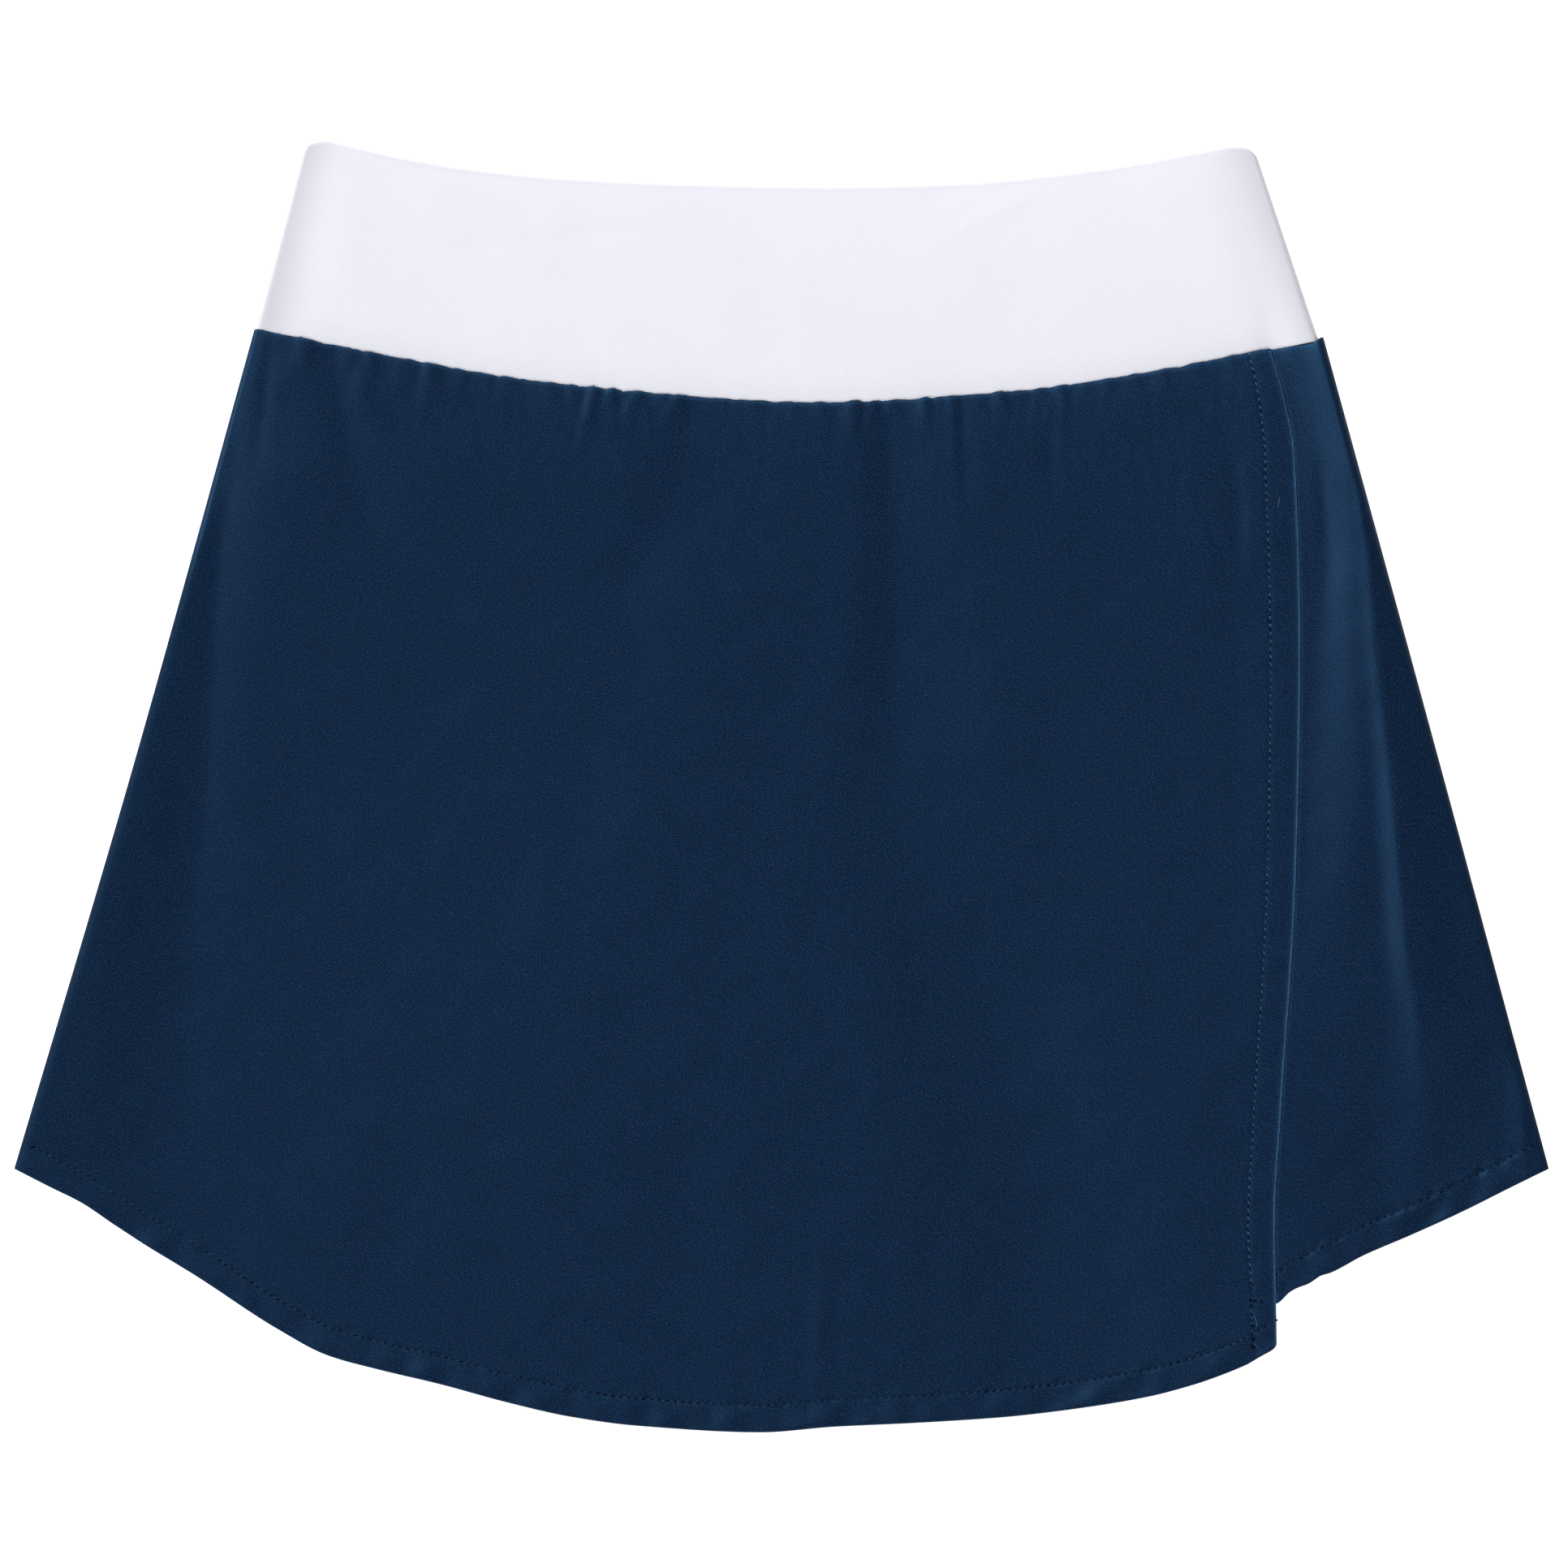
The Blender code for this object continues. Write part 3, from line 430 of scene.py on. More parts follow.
# --- Curves ---------------------------------------------------------------------------------------
def curve_through(rows, at):
    """Smooth curve through (position, value) rows, read at `at` and level beyond its ends.

    Cubic Hermite pieces. The slope at a row is the harmonic mean of the chords on its two sides, or 0 where
    they turn, so the curve never overshoots.
    """
    x, y = np.array(sorted(rows), float).T
    chord = np.diff(y) / np.diff(x)
    product = chord[:-1] * chord[1:]
    total = chord[:-1] + chord[1:]
    inner = np.where(product > 0, 2 * product / (total + (total == 0)), 0.0)
    slope = np.concatenate([chord[:1], inner, chord[-1:]])
    at = np.clip(at, x[0], x[-1])
    i = np.clip(np.searchsorted(x, at, side="right") - 1, 0, len(x) - 2)
    step = x[i + 1] - x[i]
    t = (at - x[i]) / step
    start = y[i] * (1 + 2 * t) + step * slope[i] * t
    end = y[i + 1] * (3 - 2 * t) + step * slope[i + 1] * (t - 1)
    return start * (1 - t) ** 2 + end * t**2


def across(outline, x):
    """Y at each x of an outline that runs from side to side."""
    return curve_through([(p.x, p.y) for p in outline], x)


def down(outline, y):
    """X at each y of an outline that runs from the waist to the hem."""
    return curve_through([(p.y, p.x) for p in outline], y)


def column(table, key, y):
    """One of a table's columns at each y, from the rows' own y."""
    return curve_through([(row.y, getattr(row, key)) for row in table], y)


def edge_at(edge, share):
    """X of a panel's edge at a share of its length, from 0 at its first point to 1 at its last."""
    length = edge[-1].y - edge[0].y
    return curve_through([((p.y - edge[0].y) / length, p.x) for p in edge], share)


def ease(t):
    """3t^2 - 2t^3 between 0 and 1."""
    t = np.clip(t, 0.0, 1.0)
    return t * t * (3 - 2 * t)


def mix(a, b, t):
    """a + t (b - a)."""
    return a + (b - a) * t


def bump(away, reach):
    """Half a cosine wave: 1 at the crest and 0 from `reach` on."""
    return 0.5 + 0.5 * np.cos(np.pi * np.clip(np.abs(away) / reach, 0.0, 1.0))


def fade(away, reach):
    """exp(-(away / reach)^2): 1 at the line, and next to nothing beyond two reaches."""
    return np.exp(-((away / reach) ** 2))


def waves(x, y, kind):
    """Sum of 18 sine waves of random direction, length and phase, between -1 and 1 or so."""
    count = 18
    draw = np.random.default_rng(kind.seed)
    total = np.zeros_like(x)
    for _ in range(count):
        turn = draw.uniform(0, np.pi)
        length = draw.uniform(kind.shortest, kind.longest)
        phase = draw.uniform(0, 2 * np.pi)
        total += np.sin((x * np.cos(turn) + y * np.sin(turn)) * 2 * np.pi / length + phase)
    return total / np.sqrt(count)


# --- How high the cloth lies ----------------------------------------------------------------------
def right_swell(x):
    """The right half's rise above the middle: RIGHT_SWELL, eased in over its width."""
    return RIGHT_SWELL * ease((x - SWELL_FROM) / SWELL_OVER)


def left_lie(x, y):
    """Top of the front panel: down from the left side into the hollow, up beside the shorts, then level.

    Beyond the hollow's line the height is hollow + climb (1 - (1 - d / over)^2.5), d being the distance from
    the line, + the rest of the way to the middle's height, eased in, + the swell of the right half.
    """
    edge = down(SIDE_LEFT, y) + SIDE_REACH
    side_top = SEAM_GAP + 2 * column(LIES, "left", y)
    line = down(HOLLOW_LINE, y)
    hollow = column(LIES, "hollow", y)
    climb = column(LIES, "climb", y)
    strip = mix(side_top, hollow, ease((x - edge) / np.maximum(line - edge, 1.0)))
    short = 1 - np.clip((x - line) / column(LIES, "over", y), 0.0, 1.0)
    rest = (column(LIES, "middle", y) - hollow - climb) * ease((x - line) / MIDDLE_OVER)
    return strip + climb * (1 - short**2.5) + rest + right_swell(x)


def right_form(x, y):
    """Rise of the cloth above the middle at the right: soft, then keen to the crest, then down to the side.

    It is rise ease(s) + (crest - low - rise) c^2 + (side - crest) ease(f), where s, c and f are the shares of
    the way through the soft rise, through the keen one and from the crest to the side. The mean over five
    places close together blunts the crest.
    """
    form = Form(y, *(column(RIGHT_FORM, key, y) for key in Form._fields[1:]))
    low = column(LIES, "middle", y) + RIGHT_SWELL - LAP
    side_top = SEAM_GAP + 2 * column(LIES, "right", y)
    edge = down(SIDE_RIGHT, y) - SIDE_REACH

    def profile(at):
        soft = form.rise * ease((at - form.x_rise) / form.width + 0.5)
        keen = np.clip((at - form.x_crest) / form.keen + 1, 0.0, 1.0) ** 2
        fall = ease((at - form.x_crest) / np.maximum(edge - form.x_crest, 1.0))
        return soft + (form.crest - low - form.rise) * keen + (side_top - form.crest) * fall

    return np.mean([profile(np.minimum(x + shift, edge)) for shift in CREST_PLACES], axis=0)


def front_lie(x, y):
    """Top of the front panel without its folds."""
    return left_lie(x, y) + right_form(x, y)


def underlap_lie(x, y):
    """Top of the underlap without its folds."""
    return column(LIES, "middle", y) + right_swell(x) - LAP + right_form(x, y)


def lift_share(y):
    """The share of the wrap edge's lift that is left: 1 high up, eased down to 0 near the hem."""
    return ease((y - WRAP_LIFT_END) / WRAP_LIFT_OVER)


def fold_height(folds, x, y):
    """Sum over the folds of height times a profile across the line, eased in and out along it.

    With t the distance from the line in reaches, the profile is the cosine bump, mixed by the fold's keenness
    with (1 - t)^2, whose point is rounded.
    """
    total = np.zeros_like(x)
    for f in folds:
        y_mid = (f.y_top + f.y_low) / 2
        line = curve_through([(f.y_top, f.x_top), (y_mid, f.x_mid), (f.y_low, f.x_low)], y)
        along = np.clip((f.y_top - y) / (f.y_top - f.y_low), 0.0, 1.0)
        reach = np.where(x < line, f.left, f.right) * mix(1.0, f.spread, along)
        t = np.clip(np.abs(x - line) / reach, 0.0, 1.0)
        keen = (1 - (np.hypot(t, FOLD_POINT) - FOLD_POINT) / (np.hypot(1.0, FOLD_POINT) - FOLD_POINT)) ** 2
        profile = mix(bump(x - line, reach), keen, f.keen)
        total += f.height * ease(along / FOLD_IN) * ease((1 - along) / FOLD_OUT) * profile
    return total


def gather_height(gathers, seam_x, below):
    """Sum over the gathers of a cosine bump round each leaning crest, fading with distance from the seam."""
    total = np.zeros_like(seam_x)
    for g in gathers:
        away = seam_x - g.x - g.lean * below
        reach = np.where(away < 0, g.left, g.right) * (1 + GATHER_WIDENS * below / g.length)
        total += g.height * ease(1 - below / g.length) * bump(away, reach)
    return total


# --- Grids ----------------------------------------------------------------------------------------
def seam_steps(x):
    """How far the waist seam stands off its even line: up over the gathers and down between them.

    Over the front panel it is a multiple of the gathers' height with small scallops, and beside the wrap's
    edge it drops by the front panel's turned top, easing back at the side.
    """
    steps = SEAM_STEP * gather_height(FRONT_GATHERS, x, 0.0) - SEAM_BACK
    steps += SCALLOP * waves(x, 0 * x, SCALLOPS)
    beside = -UNDERLAP_DROP * ease((DROP_END - x) / DROP_OVER)
    return np.where(x < WRAP_EDGE[0].x, steps, beside)


def lay_out(cut, interior, from_top, from_low, between, band=None):
    """The panel's grid seen from above: rows from the low edge up, columns from left to right.

    A column keeps its share of the width all the way down. Round a folded side the columns turn about the
    fold's axis instead, and beside a free right edge they keep their shares of `band`, the distance from the
    edge to its stitches. A row near the top or the low edge keeps its distance from it.
    """
    turned = len(FOLD_TURNS)
    beside = WRAP_SHARES if band else ()
    widest = max(beside, default=0.0)
    counts = (turned * cut.fold_left, len(interior), len(beside), turned * cut.fold_right)

    def row(left, inner, free, right):
        parts = zip(counts, (left, inner, free, right))
        return np.concatenate([np.broadcast_to(value, count) for count, value in parts])

    turn = row(FOLD_TURNS[:counts[0]], np.pi / 2, np.pi / 2, FOLD_TURNS[::-1][:counts[3]])
    share = row(0.0, interior, 1.0, 1.0)
    side = row(-1.0, 0.0, 0.0, 1.0)
    inset = row(0.0, 0.0, beside, 0.0)
    in_band = row(0.0, 0.0, 1.0, 0.0) > 0

    def column_x(at, y):
        width = down(band, y) if band else 0.0
        left = edge_at(cut.left, at) + SIDE_REACH * cut.fold_left
        right = edge_at(cut.right, at) - SIDE_REACH * cut.fold_right
        inner = mix(left, right - width * widest, share)
        return np.where(in_band, right - width * inset, inner) + side * SIDE_REACH * np.cos(turn)

    def edge_y(edge, x):
        return across(edge, x) + seam_steps(x) * (edge is WAIST_SEAM)

    seam_x = column_x(0.0, cut.left[0].y)
    y_top = edge_y(cut.top, seam_x)
    y_low = edge_y(cut.low, column_x(1.0, cut.left[-1].y))
    first = y_low + np.array(from_low)[:, None]
    last = y_top - np.array(from_top)[::-1, None]
    steps = np.linspace(0.0, 1.0, between + 2)[1:-1, None]
    y = np.concatenate([first, mix(first[-1:], last[:1], steps), last])
    at = (y_top - y) / (y_top - y_low)
    x = column_x(at, y)
    every = 0 * y
    from_edge = edge_at(cut.right, at) - x
    level = np.where(x < 0, column(LIES, "left", y), column(LIES, "right", y))
    return Grid(x, y, level, turn + every, seam_x + every, y_top - y, y - y_low, from_edge)


def skirt_grid(cut, interior, between, stitching, band=None):
    """A skirt panel's grid, with rows close together at its seam and down its turned hem."""
    below = [d + SEAM_MEET for d in BELOW_SEAM]
    hem = [share * stitching.hem_inset for share in HEM_SHARES]
    return lay_out(cut, interior, below, hem, between, band)


def stations(count, first, last, marks, extra, reach):
    """`count` shares from 0 to 1, without 1, closer together round the marks between first and last.

    Each step holds an equal part of the integral of 1 + extra x bump round each mark.
    """
    x = np.linspace(first, last, 2000)
    density = 1 + extra * np.max([bump(x - m, reach) for m in marks], axis=0)
    total = np.concatenate([[0.0], np.cumsum((density[1:] + density[:-1]) / 2)])
    at = np.interp(np.linspace(0.0, total[-1], count + 1)[:-1], total, x)
    return (at - first) / (last - first)


def at_folds(grid, height):
    """Where a grid is flat, and at each point the height of the flat part beside the nearer side fold."""
    flat = grid.turn > FOLD_TURNS[-1] + 0.01
    columns = np.flatnonzero(flat[0])
    return flat, np.where(grid.x < 0, height[:, columns[:1]], height[:, columns[-1:]])


def rounded_up(grid, height):
    """Upper face: at `height`, and round the side folds down to the seam, as level + (top - level) sin."""
    flat, top = at_folds(grid, height)
    level = SEAM_GAP + grid.level
    return np.stack([grid.x, grid.y, np.where(flat, height, level + (top - level) * np.sin(grid.turn))], -1)


def rounded_down(grid, lift):
    """Under face: `lift` above the surface, and round the side folds up to the seam's level."""
    flat, low = at_folds(grid, lift)
    z = np.where(flat, lift, grid.level - (grid.level - low) * np.sin(grid.turn))
    return np.stack([grid.x, grid.y, z], -1)[:, ::-1]


def side_fold(grid, reach):
    """How near a point is to a folded side: 1 at the side, fading away from it over `reach`."""
    left = (grid.turn[0, 0] < 1.0) * fade(grid.x - grid.x[:, :1], reach)
    right = (grid.turn[0, -1] < 1.0) * fade(grid.x[:, -1:] - grid.x, reach)
    return np.maximum(left, right)


def edge_drop(away, radius):
    """How far a folded edge drops `away` from its end: radius (1 - sqrt(1 - (1 - away / radius)^2))."""
    t = 1 - np.clip(away / radius, 0.0, 1.0)
    return radius * (1 - np.sqrt(1 - t * t))


def seam_roll(roll, under):
    """What gathered cloth lies too low beside a seam: -roll e^(-under / 7), and a dip close to the seam."""
    return -roll * np.exp(-under / 7.0) - 0.1 * ease(1 - under / 1.2)


def turned_hem(grid, inset, pucker, seed):
    """What a turned, stitched hem adds: a low swell, a groove on the stitches, ripples and a round edge."""
    away = grid.from_low
    swell = 0.06 * bump(away - 0.45 * inset, 0.55 * inset)
    groove = 0.10 * bump(away - inset, 0.9)
    ripples = waves(grid.x, 0.7 * grid.y, Waves(8.0, 26.0, seed)) * bump(away - 0.3 * inset, 0.8 * inset)
    ripples += 0.35 * waves(grid.x, 0.7 * grid.y, Waves(3.5, 8.0, seed + 50)) * bump(away - inset, 3.0)
    return swell - groove + pucker * ripples - edge_drop(away, 0.6)


def painted_edge_highlight(grid, hem_inset):
    """Painted highlight on a panel, 0 to 1: pale rims standing in for the light caught at the seam and the
    hem's edge, and a little paler all over the hem.
    """
    seam = 0.26 * fade(grid.from_top, 0.8)
    hem = 0.01 * ease((hem_inset - grid.from_low) / 1.5) + 0.10 * fade(grid.from_low, 0.4)
    return np.maximum(seam, hem)


def normals_of(points):
    """Unit normals of a grid of points: the cross product of the differences along its two directions."""
    normal = np.cross(np.gradient(points, axis=1), np.gradient(points, axis=0))
    return normal / np.maximum(np.linalg.norm(normal, axis=-1, keepdims=True), 1e-9)


def running_length(points, axis):
    """Length along one direction of a grid, from its first row or column."""
    steps = np.linalg.norm(np.diff(points, axis=axis), axis=-1)
    return np.concatenate([0 * np.take(steps, [0], axis=axis), np.cumsum(steps, axis=axis)], axis=axis)


# --- Meshes ---------------------------------------------------------------------------------------
def new_object(name, points, faces, material):
    """A smooth mesh object at the origin, from points in millimetres and arrays of faces."""
    mesh = bpy.data.meshes.new(name)
    mesh.from_pydata((points * MM).tolist(), [], sum((part.tolist() for part in faces), []))
    mesh.shade_smooth()
    mesh.set_sharp_from_angle(angle=np.radians(55.0))
    mesh.materials.append(material)
    piece = bpy.data.objects.new(name, mesh)
    bpy.context.scene.collection.objects.link(piece)
    return piece


def quads(index):
    """Quads of grids of vertex numbers, whose last two directions are the grid's."""
    corners = (index[..., :-1, :-1], index[..., :-1, 1:], index[..., 1:, 1:], index[..., 1:, :-1])
    return np.stack(corners, -1).reshape(-1, 4)


def cloth(name, outer, wall, material, by_columns=False, **painted_on):
    """A closed cloth wall: the outer grid, every other point of it moved in along the normals, and a rim.

    `wall` is the thickness at each point. The lengths along the cloth, in metres, become its UV map, so that
    its threads follow the grid's columns where `by_columns` is set. What is painted on it, from 0 to 1 at
    each point, becomes attributes for the material.
    """
    rows, columns = outer.shape[:2]
    moved = outer - normals_of(outer) * np.broadcast_to(wall, (rows, columns))[..., None]
    keep_rows = np.unique([*range(0, rows, 2), rows - 1])
    keep_columns = np.unique([*range(0, columns, 2), columns - 1])
    kept = np.ix_(keep_rows, keep_columns)
    front = np.arange(rows * columns).reshape(rows, columns)
    back = np.full((rows, columns), -1)
    back[kept] = rows * columns + np.arange(len(keep_rows) * len(keep_columns)).reshape(back[kept].shape)
    rim = np.concatenate([front[0, :-1], front[:-1, -1], front[-1, :0:-1], front[:0:-1, 0]])
    under = back.ravel()[rim]
    at = np.flatnonzero(under >= 0)
    after = np.roll(at, -1)
    wide = (after - at) % len(rim) == 2
    a, b = at[wide], after[wide]
    five = np.stack([rim[b], rim[(a + 1) % len(rim)], rim[a], under[a], under[b]], -1)
    a, b = at[~wide], after[~wide]
    four = np.stack([rim[b], rim[a], under[a], under[b]], -1)
    points = np.concatenate([outer.reshape(-1, 3), moved[kept].reshape(-1, 3)])
    piece = new_object(name, points, [quads(front), quads(back[kept])[:, ::-1], five, four], material)
    mesh = piece.data
    lengths = np.stack([running_length(outer, 1), running_length(outer, 0)], -1) * MM
    if by_columns:
        lengths[..., 0] = lengths[rows // 2, :, 0]
    lengths = np.concatenate([lengths.reshape(-1, 2), lengths[kept].reshape(-1, 2)])
    corners = np.empty(len(mesh.loops), np.int32)
    mesh.loops.foreach_get("vertex_index", corners)
    mesh.uv_layers.new(name="cloth").data.foreach_set("uv", lengths[corners].astype(np.float32).ravel())
    for key, value in painted_on.items():
        value = np.broadcast_to(value, (rows, columns))
        value = np.concatenate([value.ravel(), value[kept].ravel()]).astype(np.float32)
        mesh.attributes.new(key, "FLOAT", "POINT").data.foreach_set("value", value)
    return piece


def tubes(name, points, material):
    """Closed tubes as one mesh, from their points by tube, ring and side."""
    index = np.arange(points[..., 0].size).reshape(points.shape[:3])
    loop = np.concatenate([index, index[:, :, :1]], 2)
    faces = [quads(loop)[:, ::-1], index[:, 0], index[:, -1, ::-1]]
    return new_object(name, points.reshape(-1, 3), faces, material)


def threads(name, path, up, material, pitch, bar, seed):
    """A run of stitches as one mesh: small rounded bars whose middles are `pitch` apart along the path.

    At u from -1 to 1 along a bar its centre is raised by lift (1 - u^2) and its half width is
    width / 2 x sqrt(1 - 0.8 u^2). The widths also vary slowly along the run. The last bar's middle lies 0.2
    of a pitch before the path's end.
    """
    draw = np.random.default_rng(seed)
    along = np.concatenate([[0.0], np.cumsum(np.linalg.norm(np.diff(path, axis=0), axis=1))])
    middle = np.arange(along[-1] - (0.2 + bar.shift) * pitch, pitch * 0.5, -pitch)[::-1]
    middle = middle + draw.uniform(-0.05, 0.05, len(middle)) * pitch
    half = bar.length / 2 * draw.uniform(1 - bar.uneven, 1 + bar.uneven, len(middle))
    stout = bar.width / 2 * draw.uniform(1 - bar.uneven, 1 + bar.uneven, len(middle))
    stout *= 1 + bar.uneven * waves(middle, 0 * middle, Waves(18.0, 60.0, seed))

    def at(s, values):
        return np.stack([np.interp(s, along, values[:, k]) for k in range(3)], -1)

    start, end = at(middle - half, path), at(middle + half, path)
    normal = at(middle, up)
    normal /= np.linalg.norm(normal, axis=1, keepdims=True)
    tangent = (end - start) / np.linalg.norm(end - start, axis=1, keepdims=True)
    side = np.cross(normal, tangent)
    turn = bar.slant + draw.uniform(-0.12, 0.12, len(middle))[:, None]
    cos, sin = np.cos(turn), np.sin(turn)
    tangent, side = tangent * cos + side * sin, side * cos - tangent * sin
    u = np.array(BAR_RINGS)[:, None, None]
    half, stout = (values[:, None, None, None] for values in (half, stout))
    radius = stout * np.sqrt(1 - 0.8 * u * u)
    centre = at(middle, path)[:, None, None] + tangent[:, None, None] * u * half
    rise = bar.lift * (1 - u * u) + radius * 0.7 * np.sin(TUBE_TURNS)
    points = centre + side[:, None, None] * radius * np.cos(TUBE_TURNS) + normal[:, None, None] * rise
    return tubes(name, points, material)


def strands(name, lines, outer, material, width, lift):
    """Loose threads as one mesh: tubes, `width` thick in their middles, along smooth lines on a panel.

    Each line is read at STRAND_RINGS places from its points' numbers, and lies `lift` above the panel's
    nearest point. The half width at u from -1 to 1 along it is width / 2 x sqrt(1 - 0.7 u^2).
    """
    grid = outer.reshape(-1, 3)
    points = []
    share = np.linspace(0.0, 1.0, STRAND_RINGS)
    half = width / 2 * np.sqrt(1 - 0.7 * (2 * share - 1) ** 2)[:, None, None]
    for line in lines:
        at = share * (len(line) - 1)
        x, y = (curve_through(list(enumerate(values)), at)[:, None] for values in zip(*line))
        nearest = np.argmin((grid[:, 0] - x) ** 2 + (grid[:, 1] - y) ** 2, axis=1)
        path = np.concatenate([x, y, grid[nearest, 2:] + lift], 1)
        tangent = np.gradient(path, axis=0)
        tangent /= np.linalg.norm(tangent, axis=1, keepdims=True)
        side = np.cross((0.0, 0.0, 1.0), tangent)
        over = np.cross(tangent, side)
        ring = side[:, None] * np.cos(TUBE_TURNS) + over[:, None] * np.sin(TUBE_TURNS)
        points.append(path[:, None] + half * ring)
    return tubes(name, np.array(points), material)


# --- Materials ------------------------------------------------------------------------------------
def tree_of(name, roughness, specular, tint=(1.0, 1.0, 1.0), sheen=0.0):
    """A new material with its Principled shader's even settings, its node tree, and the shader."""
    material = bpy.data.materials.new(name)
    material.use_nodes = True
    shader = material.node_tree.nodes["Principled BSDF"]
    shader.inputs["Roughness"].default_value = roughness
    shader.inputs["Specular IOR Level"].default_value = specular
    shader.inputs["Specular Tint"].default_value = (*tint, 1.0)
    shader.inputs["Sheen Weight"].default_value = sheen
    shader.inputs["Sheen Roughness"].default_value = 0.4
    shader.inputs["Sheen Tint"].default_value = (*tint, 1.0)
    return material, material.node_tree, shader


def node(tree, kind, inputs=(), **settings):
    """A node with its settings, and inputs as (socket, value or output) pairs."""
    made = tree.nodes.new(kind)
    for key, value in settings.items():
        setattr(made, key, value)
    for socket, value in inputs:
        if isinstance(value, bpy.types.NodeSocket):
            tree.links.new(value, made.inputs[socket])
        else:
            made.inputs[socket].default_value = value
    return made


def along_cloth(tree, scale=(1.0, 1.0)):
    """The cloth's UV map with `scale` repeats to the millimetre across and along."""
    uv = node(tree, "ShaderNodeUVMap", uv_map="cloth")
    size = (scale[0] / MM, scale[1] / MM, 1.0)
    return node(tree, "ShaderNodeMapping", [("Vector", uv.outputs[0]), ("Scale", size)]).outputs[0]


def on_object(tree):
    """The piece's own coordinates, in metres."""
    return node(tree, "ShaderNodeTexCoord").outputs["Object"]


def noise(tree, where, scale=1.0, detail=2.0, roughness=0.5):
    """Noise, about 0.5 in the middle."""
    values = [("Vector", where), ("Scale", scale), ("Detail", detail), ("Roughness", roughness)]
    return node(tree, "ShaderNodeTexNoise", values).outputs["Fac"]


def cloth_noise(tree, scale, detail=2.0, roughness=0.5):
    """Noise with `scale` repeats to the millimetre across and along the cloth."""
    return noise(tree, along_cloth(tree, scale), 1.0, detail, roughness)


def bands(tree, where, direction, scale, distortion, detail=1.0, detail_scale=1.0):
    """Soft bands from 0 to 1 that follow one another in a direction, bent by noise."""
    values = [("Vector", where), ("Scale", scale), ("Distortion", distortion)]
    values += [("Detail", detail), ("Detail Scale", detail_scale)]
    return node(tree, "ShaderNodeTexWave", values, bands_direction=direction).outputs["Fac"]


def ranged(tree, value, low, high, to_low=0.0, to_high=1.0):
    """A value's range low..high carried over to to_low..to_high, held at the ends."""
    ends = [("Value", value), (1, low), (2, high), (3, to_low), (4, to_high)]
    return node(tree, "ShaderNodeMapRange", ends).outputs[0]


def maths(tree, operation, a, b):
    """Two values joined by one operation."""
    return node(tree, "ShaderNodeMath", [(0, a), (1, b)], operation=operation).outputs[0]


def mixed(tree, share, a, b, blend="MIX"):
    """Two colours mixed by a share. A colour is an output or a linear red, green and blue."""
    a, b = ((*c, 1.0) if not isinstance(c, bpy.types.NodeSocket) else c for c in (a, b))
    inputs = [(0, share), (6, a), (7, b)]
    return node(tree, "ShaderNodeMix", inputs, data_type="RGBA", blend_type=blend).outputs[2]


def grey(tree, value):
    """A grey of this value."""
    return node(tree, "ShaderNodeCombineColor", [(k, value) for k in range(3)]).outputs[0]


def painted(tree, key):
    """What cloth() painted on the piece under this name, from 0 to 1."""
    return node(tree, "ShaderNodeAttribute", attribute_name=key).outputs["Fac"]


def times(colour, number):
    """A colour times a number."""
    return tuple(number * c for c in colour)


def bumped(tree, shader, height, distance, strength):
    """The height as bump, `distance` mm deep."""
    values = [("Strength", strength), ("Distance", distance * MM), ("Height", height)]
    tree.links.new(node(tree, "ShaderNodeBump", values).outputs[0], shader.inputs["Normal"])


def navy_woven(colours):
    """Navy crepe: uneven threads both ways, light flecks, soft mottling, painted highlight along the turned
    edges and painted shade at the side folds.
    """
    name = "navy_crepe"
    if name in bpy.data.materials:
        return bpy.data.materials[name]
    material, tree, shader = tree_of(name, 0.50, 0.44, (0.17, 0.50, 1.0))
    warp = cloth_noise(tree, (3.0, 0.9), 1.0, 0.6)
    weft = cloth_noise(tree, (0.9, 3.0), 1.0, 0.6)
    crepe = cloth_noise(tree, (2.1, 2.1), 2.0, 0.8)
    weave = maths(tree, "ADD", maths(tree, "MULTIPLY", maths(tree, "MAXIMUM", warp, weft), 0.4), crepe)
    hue = ranged(tree, cloth_noise(tree, (1.6, 1.6), 2.0, 0.8), 0.42, 0.58)
    fleck = maths(tree, "POWER", ranged(tree, weave, 0.57, 0.93), 1.6)
    base = mixed(tree, fleck, colours.navy, mixed(tree, hue, colours.navy_light, colours.navy_violet))
    cloud = cloth_noise(tree, (0.11, 0.08), 3.0, 0.7)
    base = mixed(tree, 1.0, base, grey(tree, ranged(tree, cloud, 0.3, 0.7, 0.9, 1.1)), "MULTIPLY")
    # Painted highlight: along the pale rims painted on by cloth(), the base colour is mixed, a little
    # unevenly, towards the thread's light blue.
    patchy = ranged(tree, cloth_noise(tree, (1.2, 1.2)), 0.35, 0.6, 0.45, 1.0)
    base = mixed(tree, maths(tree, "MULTIPLY", painted(tree, "worn"), patchy), base, colours.thread)
    # Painted shade: towards the side folds the base colour is mixed half way to the dark side navy.
    side = painted(tree, "side")
    base = mixed(tree, maths(tree, "MULTIPLY", side, 0.5), base, SIDE_SHADE_NAVY)
    tree.links.new(base, shader.inputs["Base Color"])
    matt = ranged(tree, weave, 0.5, 0.95, 0.46, 0.54)
    matt = maths(tree, "ADD", matt, ranged(tree, cloud, 0.3, 0.7, -0.006, 0.006))
    matt = maths(tree, "MAXIMUM", matt, maths(tree, "MULTIPLY", side, 0.95))
    tree.links.new(matt, shader.inputs["Roughness"])
    bumped(tree, shader, weave, 0.05, 0.4)
    return material


